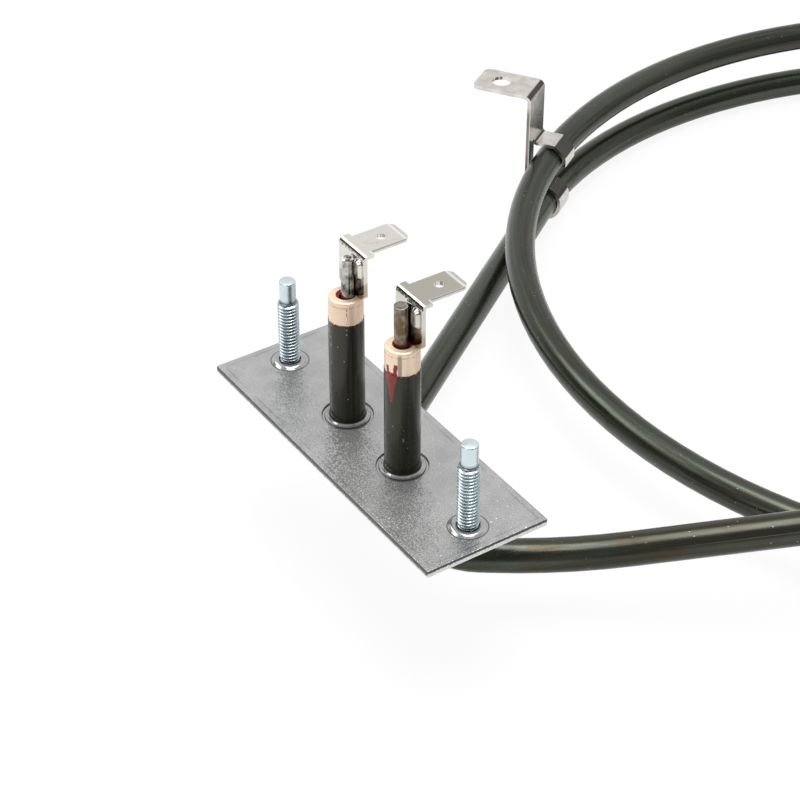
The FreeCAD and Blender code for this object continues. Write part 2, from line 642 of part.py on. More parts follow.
def makeBracket(name, angle, centre_line):
    frame = FreeCAD.Placement(
        ringPoint(angle, size("ring_radius")),
        FreeCAD.Rotation(FreeCAD.Vector(0, 0, 1), math.degrees(angle)),
    )
    lower, upper = tubeLevels(centre_line, angle)
    thick, width, bend = size("strip_thick"), size("strip_width"), size("strip_bend")
    off = size("tube_dia") / 2 + size("strip_fit") + thick / 2
    strip_line = [(off + size("foot_length"), -thick / 2), (off, -thick / 2), (off, lower)]
    strip = addFold(f"{name}_strip", strip_line, [0, bend, 0], "Sizes.strip_width", -width / 2, frame)
    lap = size("eye_lap")
    eye_line = [
        (off, lower + lap),
        (off, lower - off),
        (-off, lower - off),
        (-off, lower + off),
        (lap, lower + off),
    ]
    inset = size("eye_inset") - width / 2
    eye = addFold(f"{name}_eye", eye_line, [0, off, off, off, 0], "Sizes.eye_width", inset, frame)
    crown, facet = upper + off, size("tongue_facet")
    tongue_line = [
        (off, crown + bend + thick),
        (off, crown),
        (facet - off, crown),
        (-off, crown - facet),
        (-off, upper - size("tongue_drop")),
    ]
    tongue_radii = [0, bend, size("tongue_bend"), size("tongue_bend"), 0]
    tongue = addFold(f"{name}_tongue", tongue_line, tongue_radii, "Sizes.tongue_width", -width / 2, frame)
    window = doc.addObject("Part::Box", f"{name}_window")
    window.setExpression("Width", "Sizes.tongue_width")
    window.setExpression("Length", "3 * Sizes.strip_thick")
    window.Height = crown + bend - lower
    corner = FreeCAD.Vector(off - 1.5 * thick, -width / 2, lower)
    window.Placement = frame.multiply(FreeCAD.Placement(corner, FreeCAD.Rotation()))
    slit = doc.addObject("Part::Cut", f"{name}_slit")
    slit.Base = strip
    slit.Tool = window
    joined = doc.addObject("Part::MultiFuse", f"{name}_joined")
    joined.Shapes = [slit, eye, tongue]
    joined.Refine = True
    hole = doc.addObject("Part::Cylinder", f"{name}_hole")
    hole.setExpression("Radius", "Sizes.foot_hole_dia / 2")
    hole.setExpression("Height", "3 * Sizes.strip_thick")
    centre = FreeCAD.Vector(off + size("foot_hole_reach"), 0, -2 * thick)
    hole.Placement = frame.multiply(FreeCAD.Placement(centre, FreeCAD.Rotation()))
    holed = doc.addObject("Part::Cut", f"{name}_holed")
    holed.Base = joined
    holed.Tool = hole
    doc.recompute()
    outward = frame.Rotation.multVec(FreeCAD.Vector(1, 0, 0))
    end = off + size("foot_length")
    foot_end = lambda middle, along, edge: (
        near(abs(along.z), 1) and near((middle - frame.Base).dot(outward), end)
    )
    amount = size("foot_corner")
    rounded = doc.addObject("Part::Fillet", f"{name}_rounded")
    rounded.Base = holed
    names = edgesWhere(holed.Shape, foot_end)
    rounded.Edges = [(int(edge[4:]), amount, amount) for edge in names]
    doc.recompute()
    finish(rounded, name)


makePlate()
makeSheath()
for side, sign in (("left", "-1"), ("right", "1")):
    makeStud(side, sign)
    makeTerminal(side, sign)
    makeTab(side, sign)
tilt = math.radians(size("bracket_angle"))
centreLine = doc.getObject("tube_centre_line").Shape
makeBracket("bracket_left", math.pi + tilt, centreLine)
makeBracket("bracket_right", -tilt, centreLine)
makeBracket("bracket_far", math.pi / 2, centreLine)
doc.recompute()

for obj in doc.Objects:
    if "Invalid" in obj.State or "Error" in obj.State:
        raise RuntimeError(f"{obj.Name} failed: {obj.State}")
os.makedirs("parts", exist_ok=True)
for obj in subparts:
    if obj.Shape.isNull() or not obj.Shape.isValid() or not obj.Shape.Solids:
        raise RuntimeError(f"{obj.Label} is not a valid solid")
for obj in subparts:
    obj.Shape.exportStep(f"parts/{obj.Label}.step")
    print(f"{obj.Label}: {len(obj.Shape.Solids)} solid, {obj.Shape.Volume:.1f} mm3")
swept = doc.getObject("swept_tube").Shape
expected = math.pi * (size("tube_dia") / 2) ** 2 * centreLine.Length
print(f"centre line {centreLine.Length:.1f} mm, swept volume {swept.Volume:.1f}, expected {expected:.1f}")
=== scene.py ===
# A round two-turn tubular heating element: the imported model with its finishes, on a pale table.
# In metres, z = 0 at the plate's outer face; +X runs along the plate and +Y to the ring.
# Angles are in degrees where no note says otherwise, and colours are as a picture shows them.
import math

import bmesh
import bpy
from mathutils import Matrix, Vector, noise


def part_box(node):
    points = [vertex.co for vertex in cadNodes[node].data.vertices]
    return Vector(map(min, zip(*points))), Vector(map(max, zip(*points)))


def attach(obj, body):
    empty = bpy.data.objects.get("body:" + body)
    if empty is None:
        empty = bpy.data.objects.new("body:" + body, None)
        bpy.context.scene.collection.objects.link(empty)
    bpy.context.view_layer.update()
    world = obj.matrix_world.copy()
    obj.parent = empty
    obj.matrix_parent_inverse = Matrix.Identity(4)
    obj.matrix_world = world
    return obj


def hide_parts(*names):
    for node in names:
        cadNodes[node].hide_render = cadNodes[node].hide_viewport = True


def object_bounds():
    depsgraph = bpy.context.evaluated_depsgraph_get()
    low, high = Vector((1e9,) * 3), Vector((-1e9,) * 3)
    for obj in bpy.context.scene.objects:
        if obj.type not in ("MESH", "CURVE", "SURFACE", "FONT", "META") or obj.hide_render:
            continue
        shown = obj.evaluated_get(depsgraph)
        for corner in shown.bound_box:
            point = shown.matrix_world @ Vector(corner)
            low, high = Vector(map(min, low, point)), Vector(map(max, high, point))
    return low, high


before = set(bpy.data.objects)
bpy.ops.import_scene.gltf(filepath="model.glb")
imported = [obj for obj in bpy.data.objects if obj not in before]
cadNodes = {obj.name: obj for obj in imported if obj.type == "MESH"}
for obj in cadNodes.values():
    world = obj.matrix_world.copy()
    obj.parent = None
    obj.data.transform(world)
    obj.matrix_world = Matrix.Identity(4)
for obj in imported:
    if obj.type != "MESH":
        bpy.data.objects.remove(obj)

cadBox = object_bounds()
mm = 0.001
print("frame loaded:", len(cadNodes), "nodes")


def middle(node):
    low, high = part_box(node)
    return (low + high) / 2


tube = {"diameter": 6.5 * mm, "bareLength": 4.75 * mm}

# places that the finishes need, worked out from the frame
sheathLow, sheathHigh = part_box("sheath_tube")
legSide = middle("terminal_pin_right").x
studSide = middle("stud_right").x
tubeRadius = tube["diameter"] / 2
tubeTop = sheathHigh.z
ringRadius = (sheathHigh.x - sheathLow.x) / 2 - tubeRadius
ringY = sheathHigh.y - tubeRadius - ringRadius
legLength = math.sqrt(ringY**2 + legSide**2 - ringRadius**2)
plateLow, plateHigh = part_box("mounting_plate")

camera = {
    "focal": 2240.9,  # in pixels of the picture
    "picture": 800,
    "sensor": 36,
    "elevation": 36.862,
    "azimuth": -56.340,
    "distance": 403.76 * mm,  # of the plate's centre, along the view
    "right": -4.56 * mm,  # of the plate's centre, from the middle of the picture
    "down": 7.03 * mm,
    "clip": (0.01, 50),
}


def cameraAxes():
    up, turn = math.radians(camera["elevation"]), math.radians(camera["azimuth"])
    right = Vector((math.cos(turn), -math.sin(turn), 0))
    level = Vector((math.sin(turn), math.cos(turn), 0))
    down = -level * math.sin(up) - Vector((0, 0, math.cos(up)))
    forward = level * math.cos(up) - Vector((0, 0, math.sin(up)))
    return right, down, forward


def makeCamera():
    right, down, forward = cameraAxes()
    made = bpy.data.objects.new("camera", bpy.data.cameras.new("camera"))
    bpy.context.scene.collection.objects.link(made)
    place = -(right * camera["right"] + down * camera["down"] + forward * camera["distance"])
    made.matrix_world = Matrix(
        [[right[i], -down[i], -forward[i], place[i]] for i in range(3)] + [[0, 0, 0, 1]]
    )
    made.data.sensor_width = camera["sensor"]
    made.data.lens = camera["focal"] / camera["picture"] * camera["sensor"]
    made.data.clip_start, made.data.clip_end = camera["clip"]
    bpy.context.scene.camera = made


# Small helpers for node trees


def feed(tree, socket, value):
    # links a socket, or sets a plain value
    if isinstance(value, bpy.types.NodeSocket):
        tree.links.new(value, socket)
    else:
        socket.default_value = value


def addNode(tree, kind, inputs=None, **settings):
    made = tree.nodes.new(kind)
    for name, value in settings.items():
        setattr(made, name, value)
    for key, value in (inputs or {}).items():
        feed(tree, made.inputs[key], value)
    return made


def calc(tree, operation, *values):
    made = addNode(tree, "ShaderNodeMath", operation=operation)
    for socket, value in zip(made.inputs, values):
        feed(tree, socket, value)
    return made.outputs[0]


def share(tree, mask, amount):
    return calc(tree, "MULTIPLY", mask, amount)


def allOf(tree, *masks):
    result = masks[0]
    for mask in masks[1:]:
        result = calc(tree, "MULTIPLY", result, mask)
    return result


def fade(tree, value, start, end, first=0.0, last=1.0):
    # runs softly from first to last as the value goes from start to end
    made = addNode(
        tree,
        "ShaderNodeMapRange",
        {"Value": value, "From Min": start, "From Max": end, "To Min": first, "To Max": last},
        interpolation_type="SMOOTHSTEP",
    )
    return made.outputs["Result"]


def band(tree, value, centre, width, soft):
    # 1 within a band of this width, with soft edges
    away = calc(tree, "ABSOLUTE", calc(tree, "SUBTRACT", value, centre))
    return fade(tree, away, width / 2, width / 2 + soft, 1.0, 0.0)


def blend(tree, factor, first, second, how="MIX"):
    made = addNode(tree, "ShaderNodeMix", data_type="RGBA", blend_type=how)
    for place, value in ((0, factor), (6, first), (7, second)):
        feed(tree, made.inputs[place], value)
    return made.outputs[2]


def vectorCalc(tree, operation, *values):
    made = addNode(tree, "ShaderNodeVectorMath", operation=operation)
    for socket, value in zip(made.inputs, values):
        feed(tree, socket, value)
    return made.outputs[0]


def alike(tree, first, second):
    # the cosine of the angle between two directions
    made = addNode(tree, "ShaderNodeVectorMath", {0: first, 1: second}, operation="DOT_PRODUCT")
    return made.outputs["Value"]


def raggedNoise(tree, position, size, squeeze):
    # uneven noise that breaks up lines and edges; squeezing Z draws it out upwards
    drawn = vectorCalc(tree, "MULTIPLY", position, (1.0, 1.0, squeeze))
    values = {"Vector": drawn, "Scale": 1 / size, "Detail": 3.0, "Roughness": 0.6}
    return addNode(tree, "ShaderNodeTexNoise", values).outputs["Fac"]


def bump(tree, height, depth, strength):
    values = {"Height": height, "Distance": depth, "Strength": strength}
    return addNode(tree, "ShaderNodeBump", values).outputs["Normal"]


def colour(red, green, blue):
    # from 0 to 255 as in a picture, to Blender's linear values
    linear = [
        part / 12.92 if part <= 0.04045 else ((part + 0.055) / 1.055) ** 2.4
        for part in (red / 255, green / 255, blue / 255)
    ]
    return (*linear, 1.0)


def makeMaterial(name, **constants):
    made = bpy.data.materials.new(name)
    made.use_nodes = True
    tree = made.node_tree
    tree.nodes.clear()
    shader = addNode(tree, "ShaderNodeBsdfPrincipled")
    for label, value in constants.items():
        shader.inputs[label.replace("_", " ")].default_value = value
    output = addNode(tree, "ShaderNodeOutputMaterial")
    tree.links.new(shader.outputs[0], output.inputs["Surface"])
    position = addNode(tree, "ShaderNodeTexCoord").outputs["Object"]
    return made, tree, shader, position


def splitPlace(tree, position):
    made = addNode(tree, "ShaderNodeSeparateXYZ", {"Vector": position})
    return made.outputs["X"], made.outputs["Y"], made.outputs["Z"]


def faceNormal(tree):
    return addNode(tree, "ShaderNodeNewGeometry").outputs["Normal"]


# Effects that several finishes share


def makeGroup(name, inputs, outputs):
    # each input is a label, a kind of socket and a starting value
    group = bpy.data.node_groups.new(name, "ShaderNodeTree")
    for label, kind, start in inputs:
        socket = group.interface.new_socket(label, in_out="INPUT", socket_type=f"NodeSocket{kind}")
        if start is not None:
            socket.default_value = start
    for label in outputs:
        kind = "NodeSocketVector" if label == "Normal" else "NodeSocketFloat"
        group.interface.new_socket(label, in_out="OUTPUT", socket_type=kind)
    given = group.nodes.new("NodeGroupInput").outputs
    result = group.nodes.new("NodeGroupOutput").inputs
    return group, given, result


def sizedNoise(group, given, size, detail):
    scale = calc(group, "DIVIDE", 1.0, size)
    values = {"Vector": given["Position"], "Scale": scale, "Detail": detail}
    return addNode(group, "ShaderNodeTexNoise", values).outputs["Fac"]


def makeSurfaceGrain():
    group, given, result = makeGroup(
        "surfaceGrain",
        [("Position", "Vector", None), ("Grain Size", "Float", 0.001), ("Cloud Size", "Float", 0.01)],
        ["Grain", "Cloud"],
    )
    low, high = 0.3, 0.7  # this stretch of the noise is spread over 0 to 1
    for label in ("Grain", "Cloud"):
        noiseValue = sizedNoise(group, given, given[f"{label} Size"], 3.0)
        group.links.new(fade(group, noiseValue, low, high), result[label])
    return group


def makeFineScratches():
    # lines of even noise, broken up by a coarser noise; the direction comes with the position
    group, given, result = makeGroup(
        "fineScratches",
        [
            ("Position", "Vector", None),
            ("Spacing", "Float", 0.001),
            ("Width", "Float", 0.02),
            ("Share", "Float", 0.4),
        ],
        ["Mask"],
    )
    breakSize, endGain = 2.7, 12.0  # of the coarser noise, in spacings, and how sharply a line ends
    noiseTop, noiseSpan = 0.72, 0.44  # nearly all of the coarser noise lies in this span
    lines = sizedNoise(group, given, given["Spacing"], 0.0)
    away = calc(group, "ABSOLUTE", calc(group, "SUBTRACT", lines, 0.5))
    line = calc(group, "SUBTRACT", 1.0, calc(group, "DIVIDE", away, given["Width"]))
    breaks = sizedNoise(group, given, calc(group, "MULTIPLY", given["Spacing"], breakSize), 2.0)
    limit = calc(group, "SUBTRACT", noiseTop, calc(group, "MULTIPLY", given["Share"], noiseSpan))
    kept = calc(group, "MULTIPLY", calc(group, "SUBTRACT", breaks, limit), endGain)
    for value in (line, kept):
        value.node.use_clamp = True
    group.links.new(allOf(group, line, kept), result["Mask"])
    return group


def makeTinySpecks():
    # a dot in some of the cells of a loose pattern
    group, given, result = makeGroup(
        "tinySpecks",
        [
            ("Position", "Vector", None),
            ("Spacing", "Float", 0.002),
            ("Size", "Float", 0.0002),
            ("Share", "Float", 0.5),
        ],
        ["Mask"],
    )
    edgeGain = 3.0  # how sharp a dot's edge is
    cells = addNode(
        group,
        "ShaderNodeTexVoronoi",
        {"Vector": given["Position"], "Scale": calc(group, "DIVIDE", 1.0, given["Spacing"])},
    )
    away = calc(group, "MULTIPLY", cells.outputs["Distance"], given["Spacing"])
    inside = calc(group, "SUBTRACT", 1.0, calc(group, "DIVIDE", away, given["Size"]))
    dot = calc(group, "MULTIPLY", inside, edgeGain)
    dot.node.use_clamp = True
    chance = addNode(group, "ShaderNodeSeparateColor", {"Color": cells.outputs["Color"]}).outputs[0]
    chosen = calc(group, "LESS_THAN", chance, given["Share"])
    group.links.new(allOf(group, dot, chosen), result["Mask"])
    return group


def makeEdgeHighlight():
    # how far the surface turns within a small width: 1 along edges and 0 on flat faces; the finishes
    # use it to paint a highlight along the edges
    group, given, result = makeGroup("edgeHighlight", [("Width", "Float", 0.0002)], ["Mask"])
    turnGain = 9.0  # so that a small turn already shows
    rounded = addNode(group, "ShaderNodeBevel", {"Radius": given["Width"]}, samples=6).outputs["Normal"]
    turned = calc(group, "SUBTRACT", 1.0, alike(group, rounded, faceNormal(group)))
    mask = calc(group, "MULTIPLY", turned, turnGain)
    mask.node.use_clamp = True
    group.links.new(mask, result["Mask"])
    return group


def makeCrystalNormal():
    # small crystals that each tilt the surface their own way
    group, given, result = makeGroup(
        "crystalNormal",
        [
            ("Position", "Vector", None),
            ("Surface", "Vector", None),
            ("Size", "Float", 0.0003),
            ("Tilt", "Float", 0.2),
        ],
        ["Normal"],
    )
    scale = calc(group, "DIVIDE", 1.0, given["Size"])
    values = {"Vector": given["Position"], "Scale": scale, "Detail": 2.0}
    colours = addNode(group, "ShaderNodeTexNoise", values).outputs["Color"]
    level = vectorCalc(group, "SUBTRACT", colours, (0.5, 0.5, 0.5))
    tilt = addNode(
        group, "ShaderNodeVectorMath", {0: level, "Scale": given["Tilt"]}, operation="SCALE"
    ).outputs[0]
    leaning = vectorCalc(group, "ADD", given["Surface"], tilt)
    group.links.new(vectorCalc(group, "NORMALIZE", leaning), result["Normal"])
    return group


surfaceGrain = makeSurfaceGrain()
fineScratches = makeFineScratches()
tinySpecks = makeTinySpecks()
edgeHighlight = makeEdgeHighlight()
crystalNormal = makeCrystalNormal()
print("shared effects made")


def useGroup(tree, group, **values):
    # an input's label has an underscore in place of each space here
    made = addNode(tree, "ShaderNodeGroup", node_tree=group)
    for label, value in values.items():
        feed(tree, made.inputs[label.replace("_", " ")], value)
    return made.outputs


def farFrom(tree, x, y, centreX, centreY=0.0):
    # distance in plan from an upright axis
    squareX = calc(tree, "POWER", calc(tree, "SUBTRACT", x, centreX), 2.0)
    squareY = calc(tree, "POWER", calc(tree, "SUBTRACT", y, centreY), 2.0)
    return calc(tree, "SQRT", calc(tree, "ADD", squareX, squareY))


def isRight(tree, x):
    # 1 on the +X half of the element
    return calc(tree, "GREATER_THAN", x, 0.0)


plateFinish = {
    "zinc": colour(180, 180, 179),
    "darkZinc": colour(142, 143, 143),
    "speck": colour(84, 85, 84),
    "polished": colour(228, 227, 222),
    "gap": colour(48, 47, 44),
    "cutEdgeHighlight": colour(214, 214, 212),
    "rolledEdgeShade": colour(86, 87, 86),
    "grain": {"Grain_Size": 0.24 * mm, "Cloud_Size": 5.0 * mm},
    "specks": {"Spacing": 1.6 * mm, "Size": 0.15 * mm, "Share": 0.4},
    "scratches": {"Spacing": 2.4 * mm, "Width": 0.018, "Share": 0.35},
    "scratchDirection": (0.3, 1.0, 1.0),  # they run more along X
    "crystalSize": 0.32 * mm,
    "crystalTilt": 0.9,
    "gloss": 0.25,
    "insetLine": 1.3 * mm,  # of a faint line round the plate, in from its edges
    "stakedStud": 3.5 * mm,  # radius of the pressed metal round a stud, and round a leg
    "stakedLeg": 4.9 * mm,
    # painted shade in the corners of the collars, beads and grooves: radius and width in mm, and amount
    "studShadeRings": [(1.96, 0.12, 0.8), (3.6, 0.08, 0.7)],
    "legShadeRings": [(3.38, 0.16, 0.8), (4.22, 0.08, 0.6), (4.72, 0.1, 0.7)],
    "cutLevel": -0.8 * mm,  # up to here the sheared side is bright
    "endCutHigher": 0.38 * mm,  # and so much higher on the short ends
}


def makeZincPlate():
    look = plateFinish
    made, tree, shader, position = makeMaterial("galvanisedPlate", Metallic=0.75)
    x, y, z = splitPlace(tree, position)
    sideX = calc(tree, "ABSOLUTE", x)
    grain = useGroup(tree, surfaceGrain, Position=position, **look["grain"])
    base = blend(tree, share(tree, grain["Cloud"], 0.5), look["zinc"], look["darkZinc"])
    base = blend(tree, share(tree, grain["Grain"], 0.6), base, look["darkZinc"])
    specks = useGroup(tree, tinySpecks, Position=position, **look["specks"])
    base = blend(tree, share(tree, specks["Mask"], 0.55), base, look["speck"])
    drawn = vectorCalc(tree, "MULTIPLY", position, look["scratchDirection"])
    scratches = useGroup(tree, fineScratches, Position=drawn, **look["scratches"])
    base = blend(tree, share(tree, scratches["Mask"], 0.35), base, look["polished"])

    # the faint line inside the edges
    insideX = calc(tree, "SUBTRACT", plateHigh.x, sideX)
    insideY = calc(tree, "SUBTRACT", plateHigh.y, calc(tree, "ABSOLUTE", y))
    inside = calc(tree, "MINIMUM", insideX, insideY)
    inset = band(tree, inside, look["insetLine"], 0.12 * mm, 0.2 * mm)
    base = blend(tree, allOf(tree, inset, grain["Cloud"], 0.4), base, look["speck"])

    # the pressed metal round the studs and legs, with painted shade in its corners
    fromStud, fromLeg = farFrom(tree, sideX, y, studSide), farFrom(tree, sideX, y, legSide)
    staked = calc(tree, "LESS_THAN", fromStud, look["stakedStud"])
    staked = calc(tree, "MAXIMUM", staked, calc(tree, "LESS_THAN", fromLeg, look["stakedLeg"]))
    for away, rings in ((fromStud, look["studShadeRings"]), (fromLeg, look["legShadeRings"])):
        for radius, width, amount in rings:
            ring = band(tree, away, radius * mm, width * mm, 0.1 * mm)
            base = blend(tree, share(tree, ring, amount), base, look["gap"])

    # the sheared side: a dark band of painted shade where the sheet rolled over, and bright where it
    # was cut, partly bare metal and partly a painted highlight
    side = fade(tree, inside, 0.12 * mm, 0.3 * mm, 1.0, 0.0)
    onEnd = calc(tree, "LESS_THAN", insideX, insideY)
    ragged = calc(tree, "MULTIPLY_ADD", grain["Grain"], 0.16 * mm, z)
    ragged = calc(tree, "MULTIPLY_ADD", onEnd, -look["endCutHigher"], ragged)
    rolled = fade(tree, ragged, look["cutLevel"], look["cutLevel"] + 0.1 * mm)
    sheared = blend(tree, rolled, look["cutEdgeHighlight"], look["rolledEdgeShade"])
    sheared = blend(tree, share(tree, grain["Grain"], 0.3), sheared, look["speck"])
    base = blend(tree, side, base, sheared)

    roughness = calc(tree, "MULTIPLY_ADD", grain["Grain"], 0.08, look["gloss"])
    roughness = calc(tree, "SUBTRACT", roughness, share(tree, staked, 0.1))
    even = calc(tree, "MAXIMUM", staked, side)
    tilt = calc(tree, "MULTIPLY_ADD", even, -0.95 * look["crystalTilt"], look["crystalTilt"])
    crystals = useGroup(
        tree,
        crystalNormal,
        Position=position,
        Surface=faceNormal(tree),
        Size=look["crystalSize"],
        Tilt=tilt,
    )
    feed(tree, shader.inputs["Base Color"], base)
    feed(tree, shader.inputs["Roughness"], roughness)
    feed(tree, shader.inputs["Normal"], crystals["Normal"])
    return made


# heights from the plate's outer face, and radii
studThread = {
    "pitch": 0.7 * mm,
    "crest": 2.0 * mm,
    "root": 1.58 * mm,
    "start": 0.6 * mm,
    "end": 13.8 * mm,
    "runIn": 0.8,  # pitches over which the thread deepens at its start
    "runOut": 1.1,  # and at its end
    "shank": 1.8 * mm,
    "point": 1.55 * mm,
    "around": 56,
    "levels": 12,  # to each pitch
}
studFinish = {
    "zinc": colour(174, 187, 191),
    "shade": colour(132, 145, 150),
    "crestHighlight": colour(198, 209, 213),
    "rootShade": colour(88, 98, 104),
    "pointHighlight": colour(206, 220, 224),
    "grain": {"Grain_Size": 0.25 * mm, "Cloud_Size": 1.6 * mm},
    "gloss": 0.26,
}


def threadShape(turn):
    # over one pitch: 1 on the crest in its middle, 0 in the root, and a flank between them
    rootEdge, flank = 0.86, 0.62  # shares of half a pitch
    away = abs(turn - 0.5) * 2
    return min(1.0, max(0.0, (rootEdge - away) / flank))


def studRadius(height, turn):
    stud = studThread
    fromStart = (height - stud["start"]) / stud["pitch"] / stud["runIn"]
    toEnd = (stud["end"] - height) / stud["pitch"] / stud["runOut"]
    full = max(0.0, min(1.0, fromStart, toEnd))
    shape = threadShape((height / stud["pitch"] - turn) % 1.0)
    return stud["root"] + (stud["crest"] - stud["root"]) * shape * full


def ringedMesh(name, rings, looped=False):
    # rings of points, each ring closed; capped at both ends, or looped back to the first ring
    mesh = bpy.data.meshes.new(name)
    points = [point for ring in rings for point in ring]
    around, faces = len(rings[0]), []
    for level in range(len(rings) if looped else len(rings) - 1):
        lower, upper = level * around, (level + 1) % len(rings) * around
        for step in range(around):
            following = (step + 1) % around
            faces.append((lower + step, lower + following, upper + following, upper + step))
    if not looped:
        faces.append(tuple(reversed(range(around))))
        faces.append(tuple(range(len(points) - around, len(points))))
    mesh.from_pydata(points, [], faces)
    mesh.validate()
    return mesh


def addPiece(name, mesh, material, sharpAngle, *replaced):
    made = bpy.data.objects.new(name, mesh)
    bpy.context.scene.collection.objects.link(made)
    mesh.materials.append(material)
    mesh.shade_smooth()
    mesh.set_sharp_from_angle(angle=math.radians(sharpAngle))
    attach(made, "root")
    if replaced:
        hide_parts(*replaced)
    return made


def levelRing(centre, height, radii):
    # one level ring of points, with a radius for each of them
    ring = []
    for step, radius in enumerate(radii):
        turn = 2 * math.pi * step / len(radii)
        x, y = centre.x + radius * math.cos(turn), centre.y + radius * math.sin(turn)
        ring.append((x, y, height))
    return ring


def roundRings(centre, around, profile):
    # rings for a turned profile of heights and radii
    return [levelRing(centre, height, [radius] * around) for height, radius in profile]


def makeStud(side, material):
    stud, node = studThread, f"stud_{side}"
    low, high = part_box(node)
    centre, around = middle(node), stud["around"]
    head, shank, point = (high.x - low.x) / 2, stud["shank"], stud["point"]
    headTop = plateLow.z - 0.01 * mm
    start, end = stud["start"], stud["end"]
    headAndShank = (
        (low.z, head - 0.35 * mm),
        (low.z + 0.12 * mm, head - 0.1 * mm),
        (low.z + 0.35 * mm, head),
        (headTop - 0.09 * mm, head),
        (headTop, head - 0.1 * mm),
        (headTop, shank),
        (start - 0.15 * mm, shank),
        (start - 0.05 * mm, stud["root"]),
    )
    dogPoint = (
        (end + 0.1 * mm, stud["root"]),
        (end + 0.45 * mm, point),
        (high.z - 0.2 * mm, point),
        (high.z - 0.05 * mm, point - 0.1 * mm),
        (high.z, point - 0.22 * mm),
    )
    rings = roundRings(centre, around, headAndShank)
    count = round((end - start) / stud["pitch"] * stud["levels"])
    for level in range(count + 1):
        height = start + (end - start) * level / count
        radii = [studRadius(height, step / around) for step in range(around)]
        rings.append(levelRing(centre, height, radii))
    rings += roundRings(centre, around, dogPoint)
    made = addPiece(f"threadedStud_{side}", ringedMesh(node, rings), material, 32, node)


studCollar = {
    "around": 96,
    # the rounded top, as height and radius in mm, from the outside in
    "profile": (
        (-0.2, 3.58),
        (0.0, 3.56),
        (0.1, 3.42),
        (0.28, 3.2),
        (0.42, 3.02),
        (0.49, 2.85),
        (0.53, 2.6),
        (0.53, 2.35),
        (0.48, 2.15),
        (0.38, 2.0),
        (0.2, 1.93),
        (-0.2, 1.93),
    ),
}


def makeCollar(side, material):
    profile = [(height * mm, radius * mm) for height, radius in studCollar["profile"]]
    rings = roundRings(middle(f"stud_{side}"), studCollar["around"], profile)
    label = f"studCollar_{side}"
    made = addPiece(label, ringedMesh(label, rings, looped=True), material, 60)


def makeStudZinc():
    look, stud = studFinish, studThread
    made, tree, shader, position = makeMaterial("studZinc", Metallic=1.0)
    x, y, z = splitPlace(tree, position)
    grain = useGroup(tree, surfaceGrain, Position=position, **look["grain"])
    # a painted highlight along the edges
    edgeGlint = useGroup(tree, edgeHighlight, Width=0.08 * mm)
    base = blend(tree, share(tree, grain["Cloud"], 0.6), look["zinc"], look["shade"])
    base = blend(tree, share(tree, edgeGlint["Mask"], 0.5), base, look["crestHighlight"])

    # painted highlight on the crests and on the point, and painted shade in the roots
    crestRadius, rootRadius, start, end = (stud[key] for key in ("crest", "root", "start", "end"))
    fromAxis = farFrom(tree, calc(tree, "ABSOLUTE", x), y, studSide)
    crest = fade(tree, fromAxis, crestRadius - 0.12 * mm, crestRadius - 0.02 * mm)
    base = blend(tree, share(tree, crest, 0.6), base, look["crestHighlight"])
    root = fade(tree, fromAxis, rootRadius + 0.01 * mm, rootRadius + 0.1 * mm, 1.0, 0.0)
    threaded = band(tree, z, (start + end) / 2, end - start, 0.2 * mm)
    base = blend(tree, allOf(tree, root, threaded, 0.95), base, look["rootShade"])
    onPoint = fade(tree, z, end + 0.3 * mm, end + 0.6 * mm)
    base = blend(tree, share(tree, onPoint, 0.8), base, look["pointHighlight"])
    roughness = calc(tree, "MULTIPLY_ADD", grain["Grain"], 0.1, look["gloss"])
    feed(tree, shader.inputs["Base Color"], base)
    feed(tree, shader.inputs["Roughness"], roughness)
    feed(tree, shader.inputs["Normal"], bump(tree, grain["Grain"], 0.01 * mm, 0.4))
    return made


sheathFinish = {
    "oxide": colour(50, 52, 43),
    "paleOxide": colour(84, 91, 82),
    "brownOxide": colour(66, 49, 37),
    "shadedLegOxide": colour(37, 35, 27),
    "oliveOxide": colour(50, 52, 38),
    "scratch": colour(120, 118, 106),
    "dust": colour(170, 168, 160),
    "copper": colour(230, 210, 184),
    "pinkCopper": colour(222, 192, 171),
    "copperLine": colour(170, 112, 92),
    "boundary": colour(74, 22, 18),
    "lacquer": colour(124, 16, 12),
    "greyStreak": colour(132, 120, 104),
    "stain": colour(84, 66, 54),
    "grain": {"Grain_Size": 0.4 * mm, "Cloud_Size": 7 * mm},
    "streaks": {"Grain_Size": 0.45 * mm, "Cloud_Size": 1.6 * mm},
    "scratches": {"Spacing": 0.9 * mm, "Width": 0.03, "Share": 0.3},
    "dustSpecks": {"Spacing": 1.3 * mm, "Size": 0.13 * mm, "Share": 0.3},
    "copperSpots": {"Spacing": 1.1 * mm, "Size": 0.15 * mm, "Share": 0.35},
    "drawnLine": 0.5 * mm,
    "gloss": 0.22,
    "metal": 0.85,  # on the ring; less on the legs above the plate
    "legMetal": 0.40,
}

# strokes of lacquer on the right leg: angle in plan, height and width in mm, at the top and the bottom
lacquerStrokes = [
    {"top": (-73, 22.0, 2.4), "bottom": (-70, 16.0, 0.4), "cover": 0.6},
    {"top": (-88, 23.2, 0.7), "bottom": (-84, 20.6, 0.9), "cover": 0.85},
    {"top": (-56, 23.8, 0.7), "bottom": (-60, 20.6, 0.9), "cover": 0.75},
]

# how the drawn lines run below the plate: their level at each leg's foot and their slope from there
drawnLines = {
    "left": {"level": -20.5 * mm, "slope": -0.083},
    "right": {"level": -26.4 * mm, "slope": 0.204},
    "beside": 4.6 * mm,  # a leg's reach from its middle line
    "above": 6.5 * mm,
    "squeeze": 0.03,  # along the tube
}


def mixVector(tree, factor, first, second):
    made = addNode(tree, "ShaderNodeMix", data_type="VECTOR")
    for place, value in ((0, factor), (4, first), (5, second)):
        feed(tree, made.inputs[place], value)
    return made.outputs[1]


def combine(tree, x, y, z):
    return addNode(tree, "ShaderNodeCombineXYZ", {"X": x, "Y": y, "Z": z}).outputs[0]


